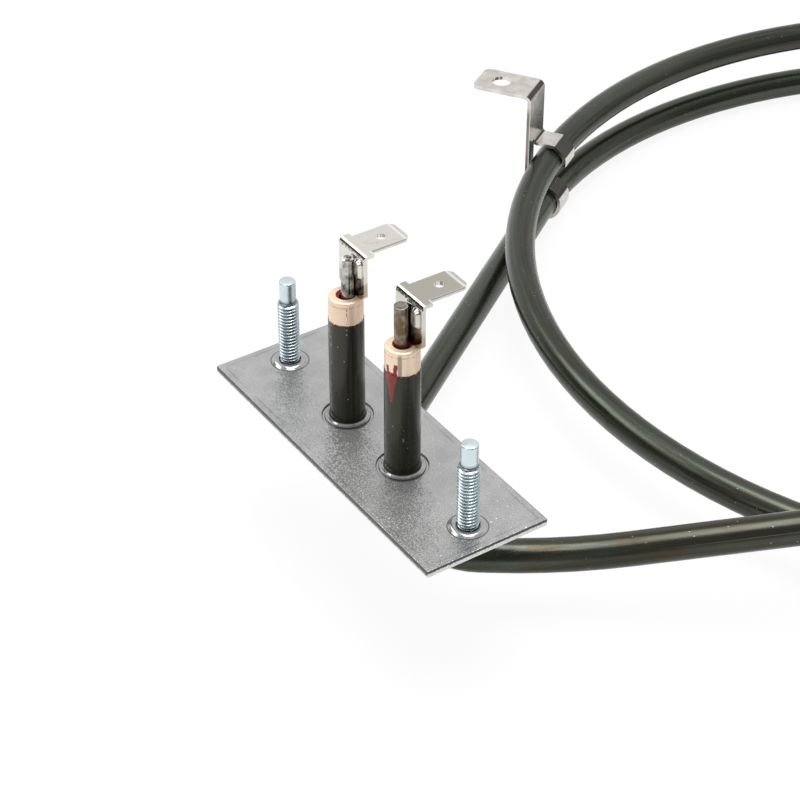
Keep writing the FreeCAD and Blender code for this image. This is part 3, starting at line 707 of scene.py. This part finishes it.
def sideValue(tree, x, key):
    # a leg's own value, by the side that the point is on
    left, right = drawnLines["left"][key], drawnLines["right"][key]
    return calc(tree, "MULTIPLY_ADD", isRight(tree, x), right - left, left)


def ringRun(tree, x, y, z):
    # round the ring; the angle starts again at its +X side
    turn = calc(tree, "ARCTAN2", calc(tree, "SUBTRACT", y, ringY), calc(tree, "MULTIPLY", x, -1.0))
    away = calc(tree, "SUBTRACT", farFrom(tree, x, y, 0.0, ringY), ringRadius)
    arc = calc(tree, "MULTIPLY", turn, ringRadius * drawnLines["squeeze"])
    return combine(tree, arc, away, z)


def tubeRun(tree, position):
    # a position that is squeezed along the tube, so that noise on it runs lengthways
    x, y, z = splitPlace(tree, position)
    squeeze = drawnLines["squeeze"]
    heading = math.atan2(ringY, -legSide) - math.atan2(ringRadius, legLength)  # of the right leg
    fromFoot = calc(tree, "SUBTRACT", calc(tree, "ABSOLUTE", x), legSide)
    along = calc(
        tree,
        "ADD",
        calc(tree, "MULTIPLY", fromFoot, math.cos(heading)),
        calc(tree, "MULTIPLY", y, math.sin(heading)),
    )
    across = calc(
        tree,
        "SUBTRACT",
        calc(tree, "MULTIPLY", y, math.cos(heading)),
        calc(tree, "MULTIPLY", fromFoot, math.sin(heading)),
    )
    climb = calc(tree, "MULTIPLY", sideValue(tree, x, "slope"), along)
    height = calc(tree, "SUBTRACT", z, climb)
    aboveLine = calc(tree, "SUBTRACT", height, sideValue(tree, x, "level"))
    beside = calc(tree, "LESS_THAN", calc(tree, "ABSOLUTE", across), drawnLines["beside"])
    within = calc(tree, "LESS_THAN", calc(tree, "ABSOLUTE", aboveLine), drawnLines["above"])
    isLeg = allOf(tree, beside, within)
    onLeg = combine(tree, calc(tree, "MULTIPLY", along, squeeze), across, height)
    level = mixVector(tree, isLeg, ringRun(tree, x, y, z), onLeg)

    # the legs stand upright at their feet
    upright = vectorCalc(tree, "MULTIPLY", position, (1.0, 1.0, squeeze))
    nearFoot = fade(tree, y, 6 * mm, 12 * mm, 1.0, 0.0)
    standing = allOf(tree, nearFoot, fade(tree, z, -16 * mm, -8 * mm))
    run = mixVector(tree, standing, level, upright)
    return run, allOf(tree, isLeg, isRight(tree, x)), along, aboveLine


def legTurn(tree, x, y, side):
    # arc length round one upright leg, from +X in plan
    turn = calc(tree, "ARCTAN2", y, calc(tree, "SUBTRACT", x, side * legSide))
    return calc(tree, "MULTIPLY", turn, tubeRadius)


def legMark(tree, turn, z, angle, width, bottom, top, soft=0.2):
    # a stripe down a leg at an angle, with its sizes in mm
    centre = math.radians(angle) * tubeRadius
    across = band(tree, turn, centre, width * mm, soft * mm)
    length = band(tree, z, (bottom + top) / 2 * mm, (top - bottom) * mm, 2 * soft * mm)
    return allOf(tree, across, length)


def lacquerStroke(tree, turn, z, ragged, stroke):
    (angleTop, top, widthTop), (angleBottom, bottom, widthBottom) = stroke["top"], stroke["bottom"]
    reach = calc(tree, "DIVIDE", calc(tree, "SUBTRACT", z, bottom * mm), (top - bottom) * mm)
    arcTop, arcBottom = (math.radians(angle) * tubeRadius for angle in (angleTop, angleBottom))
    centre = calc(tree, "MULTIPLY_ADD", reach, arcTop - arcBottom, arcBottom)
    width = calc(tree, "MULTIPLY_ADD", reach, (widthTop - widthBottom) * mm, widthBottom * mm)
    away = calc(tree, "ABSOLUTE", calc(tree, "SUBTRACT", turn, centre))
    inside = calc(tree, "SUBTRACT", share(tree, width, 0.5), away)
    wander = share(tree, calc(tree, "SUBTRACT", ragged, 0.5), 0.5 * mm)
    inside = fade(tree, calc(tree, "ADD", inside, wander), -0.03 * mm, 0.06 * mm)
    thin = 1 - stroke["cover"]
    covered = fade(tree, ragged, thin - 0.05, thin + 0.05)
    ends = band(tree, z, (bottom + top) / 2 * mm, (top - bottom) * mm, 0.3 * mm)
    return allOf(tree, inside, covered, ends)


def oxideColour(tree, here):
    look, streaks = sheathFinish, here["streaks"]
    base = blend(tree, share(tree, streaks["Cloud"], 0.6), look["oxide"], look["paleOxide"])
    amount = calc(tree, "MULTIPLY_ADD", here["isNear"], 0.6, 0.25)
    brown = allOf(tree, here["grain"]["Cloud"], streaks["Grain"], amount)
    base = blend(tree, brown, base, look["brownOxide"])

    # the legs above the plate are darker, a painted shade, each with a paler olive band on its lit side
    # that is a painted highlight
    streak = 0.0
    for turn in (here["leftTurn"], here["rightTurn"]):
        sheenStripe = band(tree, turn, math.radians(-57) * tubeRadius, 1.2 * mm, 1.0 * mm)
        streak = calc(tree, "MAXIMUM", streak, sheenStripe)
    leg = blend(tree, share(tree, streaks["Grain"], 0.35), look["shadedLegOxide"], look["oliveOxide"])
    leg = blend(tree, share(tree, streak, 0.6), leg, look["oliveOxide"])
    return blend(tree, here["upright"], base, leg)


def wornOxide(tree, here, base):
    # scratches, the drawn seam of the right leg, dust, and pale scuffs down the left leg
    look, z = sheathFinish, here["z"]
    scratches = useGroup(tree, fineScratches, Position=here["run"], **look["scratches"])
    base = blend(tree, share(tree, scratches["Mask"], 0.2), base, look["scratch"])
    seam = band(tree, here["aboveLine"], 1.5 * mm, 0.03 * mm, 0.1 * mm)
    seam = allOf(tree, seam, fade(tree, here["along"], 44 * mm, 60 * mm), here["isNear"], 0.8)
    base = blend(tree, seam, base, look["scratch"])
    specks = useGroup(tree, tinySpecks, Position=here["position"], **look["dustSpecks"])
    base = blend(tree, share(tree, specks["Mask"], 0.9), base, look["dust"])
    upper = legMark(tree, here["leftTurn"], z, -96, 0.9, 15.5, 20.5)
    lower = legMark(tree, here["leftTurn"], z, -98, 0.6, 2.0, 15.0)
    scuff = calc(tree, "MAXIMUM", upper, share(tree, lower, 0.5))
    thin = fade(tree, here["ragged"], 0.56, 0.64)
    scuff = allOf(tree, scuff, here["onLeft"], thin, here["nearPlate"], 0.8)
    return blend(tree, scuff, base, look["scratch"])


def copperColour(tree, here, height):
    # rosy patches and spots, a line under the rim, and a streak or a stain down each end
    look, z, ragged, onLeft = sheathFinish, here["z"], here["ragged"], here["onLeft"]
    top = tubeTop / mm
    rosy = calc(tree, "MULTIPLY_ADD", here["grain"]["Grain"], 0.45, share(tree, onLeft, 0.35))
    copper = blend(tree, rosy, look["copper"], look["pinkCopper"])
    spots = useGroup(tree, tinySpecks, Position=here["position"], **look["copperSpots"])
    copper = blend(tree, share(tree, spots["Mask"], 0.5), copper, look["copperLine"])
    rim = band(tree, height, tubeTop - 1.0 * mm, 0.1 * mm, 0.1 * mm)
    rim = allOf(tree, rim, fade(tree, ragged, 0.42, 0.55), 0.8)
    copper = blend(tree, rim, copper, look["copperLine"])
    streak = legMark(tree, here["rightTurn"], z, -42, 0.4, top - 4.8, top - 0.8, 0.35)
    copper = blend(tree, allOf(tree, streak, here["onRight"], 0.85), copper, look["greyStreak"])
    stain = legMark(tree, here["leftTurn"], z, -29, 0.25, top - 4.6, top - 1.0)
    stain = allOf(tree, stain, onLeft, fade(tree, ragged, 0.52, 0.6), 0.8)
    return blend(tree, stain, copper, look["stain"])


def lacquerMask(tree, here):
    painted = 0.0
    for stroke in lacquerStrokes:
        mark = lacquerStroke(tree, here["rightTurn"], here["z"], here["ragged"], stroke)
        painted = calc(tree, "MAXIMUM", painted, mark)
    return allOf(tree, painted, here["onRight"], here["nearPlate"])


def makeSheathOxide():
    look = sheathFinish
    made, tree, shader, position = makeMaterial("sheathOxide", Specular_IOR_Level=0.42)
    x, y, z = splitPlace(tree, position)
    run, isNear, along, aboveLine = tubeRun(tree, position)
    onLeft = calc(tree, "LESS_THAN", x, 0.0)
    here = {
        "position": position,
        "z": z,
        "run": run,
        "isNear": isNear,
        "along": along,
        "aboveLine": aboveLine,
        "grain": useGroup(tree, surfaceGrain, Position=position, **look["grain"]),
        "streaks": useGroup(tree, surfaceGrain, Position=run, **look["streaks"]),
        "ragged": raggedNoise(tree, position, 0.35 * mm, 0.45),
        "upright": fade(tree, z, -14 * mm, -2 * mm),
        "nearPlate": calc(tree, "LESS_THAN", calc(tree, "ABSOLUTE", y), 1.5 * tubeRadius),
        "leftTurn": legTurn(tree, x, y, -1),
        "rightTurn": legTurn(tree, x, y, 1),
        "onLeft": onLeft,
        "onRight": calc(tree, "SUBTRACT", 1.0, onLeft),
    }
    base = wornOxide(tree, here, oxideColour(tree, here))

    # the copper-coloured bare ends, with a wavering line below them
    wander = calc(tree, "SUBTRACT", here["grain"]["Grain"], 0.5)
    height = calc(tree, "ADD", z, share(tree, wander, 0.12 * mm))
    edge = tubeTop - tube["bareLength"]
    bare = fade(tree, height, edge - 0.05 * mm, edge + 0.05 * mm)
    base = blend(tree, bare, base, copperColour(tree, here, height))
    line = band(tree, height, edge - 0.1 * mm, 0.16 * mm, 0.08 * mm)
    base = blend(tree, line, base, look["boundary"])
    painted = lacquerMask(tree, here)
    base = blend(tree, painted, base, look["lacquer"])

    # the oxide shines like dark metal on the ring, less on the legs, and lacquer is no metal
    metal = calc(tree, "MULTIPLY_ADD", here["upright"], look["legMetal"] - look["metal"], look["metal"])
    metal = calc(tree, "MULTIPLY", metal, calc(tree, "SUBTRACT", 1.0, painted))
    metal = calc(tree, "MULTIPLY_ADD", bare, 0.05, metal)
    roughness = calc(tree, "MULTIPLY_ADD", here["streaks"]["Grain"], 0.08, look["gloss"])
    roughness = calc(tree, "MULTIPLY_ADD", bare, 0.12, roughness)
    crystals = useGroup(
        tree,
        crystalNormal,
        Position=run,
        Surface=faceNormal(tree),
        Size=look["drawnLine"],
        Tilt=calc(tree, "MULTIPLY_ADD", bare, 0.06, 0.06),
    )
    feed(tree, shader.inputs["Base Color"], base)
    feed(tree, shader.inputs["Roughness"], roughness)
    feed(tree, shader.inputs["Metallic"], metal)
    feed(tree, shader.inputs["Normal"], crystals["Normal"])
    return made


steelFinish = {
    "steel": colour(200, 197, 190),
    "shade": colour(170, 164, 154),
    # the pale colour used for painted highlights on edges, bevel faces and crests
    "edge": colour(248, 246, 242),
    "grain": {"Grain_Size": 0.15 * mm, "Cloud_Size": 1.6 * mm},
    "scratches": {"Spacing": 0.8 * mm, "Width": 0.03, "Share": 0.25},
    "mottle": 0.35,
    "gloss": 0.22,
}
coilFinish = steelFinish | {
    "steel": colour(120, 114, 106),
    "shade": colour(84, 78, 72),
    "gloss": 0.35,
}
bracketFinish = steelFinish | {
    "steel": colour(214, 210, 204),
    "shade": colour(168, 160, 152),
    # heat tint outside the ring, made darker as a painted dark reflection
    "heatTint": colour(78, 66, 48),
    "heatStart": 3.6 * mm,  # outside the ring's middle line
    "fold": colour(52, 50, 48),
    "grain": {"Grain_Size": 0.15 * mm, "Cloud_Size": 2.4 * mm},
    "mottle": 0.5,
    "gloss": 0.18,
}


def heatTintAndShade(tree, look, position, grain, base):
    # browned by heat outside the ring, in a dark tint that is partly real heat tint and partly a
    # painted dark reflection, and painted shade along the folds
    x, y, z = splitPlace(tree, position)
    start = ringRadius + look["heatStart"]
    outside = fade(tree, farFrom(tree, x, y, 0.0, ringY), start, start + 0.4 * mm)
    amount = calc(tree, "MULTIPLY_ADD", grain["Cloud"], -0.3, 0.95)
    tint = allOf(tree, outside, fade(tree, z, -2.0 * mm, -5.0 * mm), amount)
    base = blend(tree, tint, base, look["heatTint"])
    upward = splitPlace(tree, faceNormal(tree))[2]
    fold = band(tree, upward, 0.68, 0.44, 0.08)
    return blend(tree, share(tree, fold, 0.95), base, look["fold"])


def makeSteel(name, look):
    made, tree, shader, position = makeMaterial(name, Metallic=1.0)
    grain = useGroup(tree, surfaceGrain, Position=position, **look["grain"])
    base = blend(tree, share(tree, grain["Cloud"], look["mottle"]), look["steel"], look["shade"])
    scratches = useGroup(tree, fineScratches, Position=position, **look["scratches"])
    base = blend(tree, share(tree, scratches["Mask"], 0.25), base, look["shade"])
    # a painted highlight along the edges, in the pale edge colour
    edgeGlint = useGroup(tree, edgeHighlight, Width=0.12 * mm)
    base = blend(tree, share(tree, edgeGlint["Mask"], 0.7), base, look["edge"])
    if "heatTint" in look:
        base = heatTintAndShade(tree, look, position, grain, base)
    roughness = calc(tree, "MULTIPLY_ADD", grain["Grain"], 0.08, look["gloss"])
    feed(tree, shader.inputs["Base Color"], base)
    feed(tree, shader.inputs["Roughness"], roughness)
    feed(tree, shader.inputs["Normal"], bump(tree, grain["Grain"], 0.008 * mm, 0.3))
    return made


# the pins are cut wires: one squared off, the other nipped to two lobes; sizes in mm
pinShapes = {
    "left": {"lean": (0.3, 0.1), "shift": (0.16, 0.1), "top": -0.25, "lobes": 0.34, "waves": 0.06},
    "right": {"lean": (-0.25, -0.1), "shift": (-0.08, 0), "top": -0.15, "lobes": 0, "waves": 0.03},
}
# the lean and the nip start at shares of the pin's height; the lobes' angle is in radians
pinForm = {"around": 40, "levels": 30, "leanFrom": 0.25, "nipFrom": 0.8, "lobeAngle": 0.9}
pinFinish = steelFinish | {"mottle": 1.0}
pinTones = {
    "left": {"steel": colour(186, 184, 182), "shade": colour(70, 64, 60), "gloss": 0.16},
    "right": {"steel": colour(150, 147, 142), "shade": colour(98, 80, 58), "gloss": 0.26},
}


def pinRing(shape, centre, radius, bottom, top, reach):
    # one ring of the pin, at a share of its height: waved, leaning and nipped towards the top
    form, ring = pinForm, []
    leanX, leanY = (
        lean * mm * max(0.0, (reach - form["leanFrom"]) / (1 - form["leanFrom"]))
        for lean in shape["lean"]
    )
    nipped = shape["lobes"] * max(0.0, (reach - form["nipFrom"]) / (1 - form["nipFrom"])) ** 1.5
    for step in range(form["around"]):
        turn = 2 * math.pi * step / form["around"]
        height = bottom + (top - bottom) * reach
        spot = Vector((math.cos(turn), math.sin(turn), height / mm * 0.35))
        wide = radius + shape["waves"] * mm * noise.noise(spot * 1.7)
        lobe = 1 - math.cos(2 * turn + form["lobeAngle"])
        wide *= 1 - 0.3 * nipped * lobe
        height -= 0.8 * nipped * mm * lobe
        x = centre.x + leanX + wide * math.cos(turn)
        y = centre.y + leanY + wide * math.sin(turn)
        ring.append((x, y, height))
    return ring


def makePin(side):
    shape, node = pinShapes[side], f"terminal_pin_{side}"
    low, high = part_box(node)
    radius, top = (high.x - low.x) / 2, high.z + shape["top"] * mm
    centre = middle(node) + Vector((*shape["shift"], 0)) * mm
    levels = pinForm["levels"]
    rings = [
        pinRing(shape, centre, radius, low.z, top, level / levels) for level in range(levels + 1)
    ]

    # the cut end rounds over its edge and dips in the middle
    edge = rings[-1]
    endX, endY = (centre[axis] + shape["lean"][axis] * mm for axis in (0, 1))
    for inward, rise in ((0.09, 0.03), (0.2, 0.02), (0.5, -0.05)):
        rings.append(
            [(x + (endX - x) * inward, y + (endY - y) * inward, z + rise * mm) for x, y, z in edge]
        )
    finish = makeSteel(f"pinSteel_{side}", pinFinish | pinTones[side])
    made = addPiece(f"terminalPin_{side}", ringedMesh(node, rings), finish, 35, node)


# terminal tabs: a matt rolled face, with bevel faces round the blade's tip that carry a painted
# highlight
tabShape = {
    "halfWidth": 3.15 * mm,  # of the blade
    "bevel": 1.3 * mm,
    "drop": 0.2 * mm,
    "thick": 0.8 * mm,
    "point": 1.1 * mm,
    "bladeStart": 3.2 * mm,
}
tabFinish = steelFinish | {
    "heatTint": colour(132, 106, 70),
    "heatLevel": (29.6 * mm, 31.4 * mm),  # the tint fades out from the first to the second
    "bendShade": colour(36, 34, 32),
    "grain": {"Grain_Size": 0.12 * mm, "Cloud_Size": 1.6 * mm},
    "rolling": {"Spacing": 0.7 * mm, "Width": 0.04, "Share": 0.5},
    "gloss": 0.13,
    "faceMatt": 0.12,
}
# the two tabs differ only by painted light and shade: lit and shaded copies of one nickel finish
tabLightAndShade = {
    "left": {"steel": colour(212, 209, 202), "face": colour(214, 211, 204), "breaks": 0.47},
    "right": {"steel": colour(196, 194, 186), "face": colour(173, 170, 159), "breaks": 0.36},
}


def tabFace(tree, low, high, x, y, z):
    # masks of the flat upper faces, and of the bevel faces round the blade, which get a painted
    # highlight
    shape = tabShape
    fromMiddle = calc(tree, "ABSOLUTE", calc(tree, "SUBTRACT", x, (low.x + high.x) / 2))
    insideX = calc(tree, "SUBTRACT", shape["halfWidth"], fromMiddle)
    insideY = calc(tree, "SUBTRACT", high.y, y)
    corner = calc(tree, "SUBTRACT", calc(tree, "ADD", insideX, insideY), shape["point"])
    tip = share(tree, insideY, 0.25 * mm / shape["bevel"])
    tip = calc(tree, "MINIMUM", tip, share(tree, corner, 0.8))
    inner = calc(tree, "MINIMUM", insideX, tip)
    isBlade = fade(tree, y, shape["bladeStart"], shape["bladeStart"] + 0.1 * mm)
    onFace = fade(tree, inner, 0.2 * mm, 0.28 * mm)
    onShoulder = calc(tree, "SUBTRACT", 1.0, isBlade)
    isTop = fade(tree, z, high.z - 0.12 * mm, high.z - 0.04 * mm)
    isFlat = fade(tree, y, low.y + 0.8 * mm, low.y + 0.95 * mm)
    face = allOf(tree, isTop, isFlat, calc(tree, "MAXIMUM", onShoulder, onFace))
    return face, allOf(tree, isTop, isBlade, calc(tree, "SUBTRACT", 1.0, onFace))


def makeTabNickel(side, low, high):
    look = tabFinish | tabLightAndShade[side]
    made, tree, shader, position = makeMaterial(f"tabNickel_{side}", Metallic=1.0)
    x, y, z = splitPlace(tree, position)
    grain = useGroup(tree, surfaceGrain, Position=position, **look["grain"])
    base = blend(tree, share(tree, grain["Cloud"], 0.25), look["steel"], look["shade"])
    face, bevelHighlight = tabFace(tree, low, high, x, y, z)
    rolling = vectorCalc(tree, "MULTIPLY", position, (1.0, 0.2, 1.0))
    rolled = useGroup(tree, fineScratches, Position=rolling, **look["rolling"])
    tone = blend(tree, share(tree, rolled["Mask"], 0.3), look["face"], look["shade"])
    base = blend(tree, face, base, tone)
    base = blend(tree, share(tree, bevelHighlight, 0.85), base, look["edge"])
    # a painted highlight along the edges
    edgeGlint = useGroup(tree, edgeHighlight, Width=0.1 * mm)
    base = blend(tree, share(tree, edgeGlint["Mask"], 0.5), base, look["edge"])

    # heat tint on the foot of the leg
    cloudy = calc(tree, "MULTIPLY_ADD", grain["Cloud"], 1.2 * mm, z)
    tint = fade(tree, cloudy, *look["heatLevel"], 1.0, 0.0)
    base = blend(tree, share(tree, tint, 0.6), base, look["heatTint"])

    # a painted highlight on the crest of the bend, and a broken band of painted shade below it
    ragged = raggedNoise(tree, position, 0.3 * mm, 0.5)
    onBend = fade(tree, y, low.y + 1.0 * mm, low.y + 1.1 * mm, 1.0, 0.0)
    crest = allOf(tree, onBend, fade(tree, z, high.z - 0.38 * mm, high.z - 0.3 * mm))
    base = blend(tree, share(tree, crest, 0.9), base, look["edge"])
    uneven = calc(tree, "MULTIPLY_ADD", ragged, 0.5 * mm, z)
    under = band(tree, uneven, high.z - 0.44 * mm, 0.36 * mm, 0.12 * mm)
    broken = fade(tree, ragged, look["breaks"], look["breaks"] + 0.12)
    base = blend(tree, allOf(tree, under, onBend, broken, 0.85), base, look["bendShade"])

    roughness = calc(tree, "MULTIPLY_ADD", face, look["faceMatt"], look["gloss"])
    feed(tree, shader.inputs["Base Color"], base)
    feed(tree, shader.inputs["Roughness"], roughness)
    feed(tree, shader.inputs["Normal"], bump(tree, grain["Grain"], 0.006 * mm, 0.3))
    return made


def makeTab(side):
    node, shape = f"terminal_tab_{side}", tabShape
    low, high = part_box(node)
    form = bmesh.new()
    form.from_mesh(cadNodes[node].data)

    # both faces slope in towards the blade's tip
    start = high.y - shape["bevel"]
    whole = form.verts[:] + form.edges[:] + form.faces[:]
    bmesh.ops.bisect_plane(form, geom=whole, plane_co=(0, start, 0), plane_no=(0, 1, 0))
    for point in form.verts:
        reach = (point.co.y - start) / shape["bevel"]
        if reach > 0.001:
            way = -1 if point.co.z > high.z - shape["thick"] / 2 else 1
            point.co.z += way * reach * shape["drop"]
    mesh = bpy.data.meshes.new(node)
    form.to_mesh(mesh)
    form.free()
    made = addPiece(f"tab_{side}", mesh, makeTabNickel(side, low, high), 25, node)


# seals and packed oxide, each with its two shades
matteFinish = {
    "redSeal": (colour(156, 44, 34), colour(104, 24, 18)),
    "packedOxide": (colour(226, 222, 212), colour(206, 200, 188)),
    "grain": {"Grain_Size": 0.2 * mm, "Cloud_Size": 1.2 * mm},
}


def makeMatte(name):
    first, second = matteFinish[name]
    made, tree, shader, position = makeMaterial(name)
    grain = useGroup(tree, surfaceGrain, Position=position, **matteFinish["grain"])
    feed(tree, shader.inputs["Base Color"], blend(tree, grain["Cloud"], first, second))
    feed(tree, shader.inputs["Roughness"], calc(tree, "MULTIPLY_ADD", grain["Grain"], 0.2, 0.6))
    feed(tree, shader.inputs["Normal"], bump(tree, grain["Grain"], 0.02 * mm, 0.5))
    return made


def dress(node, material):
    mesh = cadNodes[node].data
    mesh.materials.clear()
    mesh.materials.append(material)


studio = {
    "floorGap": 0.7 * mm,
    "floorReach": 4.0,
    "floorWhite": 0.9,  # share of the floor's own light for the camera
    "floorSheen": 0.5,  # and for reflections
    "floorPaint": colour(238, 238, 238),
    "nearSky": 0.32,  # soft light from behind the camera, and from the far side
    "farSky": 0.9,
    "opening": (-0.68, -0.6, 0.42),  # a dark opening in the room, seen in bright metal
    "openingReach": (9, 24),  # its inner and outer angle from that direction
    "openingLevel": 0.06,
}


def rayKinds(tree):
    path = addNode(tree, "ShaderNodeLightPath").outputs
    mirrored = calc(tree, "MAXIMUM", path["Is Glossy Ray"], path["Is Transmission Ray"])
    return path["Is Camera Ray"], mirrored


def makeFloor():
    level = cadBox[0].z - studio["floorGap"]
    reach = studio["floorReach"]
    mesh = bpy.data.meshes.new("floor")
    signs = ((-1, -1), (1, -1), (1, 1), (-1, 1))
    corners = [(signX * reach, signY * reach, level) for signX, signY in signs]
    mesh.from_pydata(corners, [], [(0, 1, 2, 3)])
    made = bpy.data.objects.new("floor", mesh)
    bpy.context.scene.collection.objects.link(made)
    material = bpy.data.materials.new("paleFloor")
    material.use_nodes = True
    tree = material.node_tree
    tree.nodes.clear()
    straight, mirrored = rayKinds(tree)
    seen = share(tree, straight, studio["floorWhite"])
    shown = calc(tree, "MAXIMUM", seen, share(tree, mirrored, studio["floorSheen"]))
    matte = addNode(tree, "ShaderNodeBsdfDiffuse", {"Color": studio["floorPaint"]})
    glow = addNode(tree, "ShaderNodeEmission", {"Color": (1, 1, 1, 1), "Strength": 1.0})
    mixed = addNode(tree, "ShaderNodeMixShader", {0: shown})
    tree.links.new(matte.outputs[0], mixed.inputs[1])
    tree.links.new(glow.outputs[0], mixed.inputs[2])
    output = addNode(tree, "ShaderNodeOutputMaterial")
    tree.links.new(mixed.outputs[0], output.inputs["Surface"])
    mesh.materials.append(material)


def makeWorld():
    # a pale room; the camera sees it as plain white, and reflections see a white backdrop
    world = bpy.data.worlds.new("softStudio")
    bpy.context.scene.world = world
    world.use_nodes = True
    tree = world.node_tree
    tree.nodes.clear()
    straight, mirrored = rayKinds(tree)
    direction = addNode(tree, "ShaderNodeTexCoord").outputs["Generated"]
    forward = cameraAxes()[2]
    ahead = alike(tree, direction, Vector((forward.x, forward.y, 0)).normalized())
    light = fade(tree, ahead, -0.6, 0.5, studio["nearSky"], studio["farSky"])
    backdrop = fade(tree, ahead, -0.1, 0.4)
    missing = calc(tree, "SUBTRACT", 1.0, light)
    shown = calc(tree, "ADD", light, allOf(tree, mirrored, backdrop, missing))
    opening = Vector(studio["opening"]).normalized()
    inner, outer = (math.cos(math.radians(angle)) for angle in studio["openingReach"])
    dark = fade(tree, alike(tree, direction, opening), outer, inner, 1.0, studio["openingLevel"])
    shown = calc(tree, "MULTIPLY", shown, dark)
    strength = calc(tree, "MAXIMUM", shown, straight)
    shader = addNode(tree, "ShaderNodeBackground", {"Color": (1, 1, 1, 1), "Strength": strength})
    output = addNode(tree, "ShaderNodeOutputWorld")
    tree.links.new(shader.outputs[0], output.inputs["Surface"])


# place, aim, size in metres and power in watts
softboxes = {
    "overhead": ((0.05, 0.05, 0.8), (0.017, 0.072, 0), (0.5, 0.6), 6.6),
    "side": ((-0.56, -0.5, 0.76), (0.03, 0.05, 0), (1.1, 0.3), 4.4),
    "left": ((0.25, -1.0, 0.45), (0, 0, 0), (0.3, 0.5), 1.2),
}


def addSoftbox(name, place, aim, size, power):
    light = bpy.data.lights.new(name, "AREA")
    light.shape, light.energy = "RECTANGLE", power
    light.size, light.size_y = size
    made = bpy.data.objects.new(name, light)
    bpy.context.scene.collection.objects.link(made)
    made.location = place
    made.rotation_euler = (Vector(aim) - Vector(place)).to_track_quat("-Z", "Y").to_euler()


makeFloor()
makeWorld()
for name, settings in softboxes.items():
    addSoftbox(name, *settings)
print("studio lit")

zincPlate = makeZincPlate()
studZinc = makeStudZinc()
sheathOxide = makeSheathOxide()
bracketSteel = makeSteel("bracketSteel", bracketFinish)
redSeal = makeMatte("redSeal")
packedOxide = makeMatte("packedOxide")
coilWire = makeSteel("coilWire", coilFinish)
dress("mounting_plate", zincPlate)
dress("sheath_tube", sheathOxide)
for side in ("left", "right"):
    makeStud(side, studZinc)
    makeCollar(side, zincPlate)
    makePin(side)
    makeTab(side)
    dress(f"end_seal_{side}", redSeal)
    dress(f"oxide_fill_{side}", packedOxide)
    dress(f"coil_end_{side}", coilWire)
for side in ("left", "right", "far"):
    dress(f"bracket_{side}", bracketSteel)
print("pieces dressed")

makeCamera()
bpy.context.scene.view_settings.view_transform = "Standard"
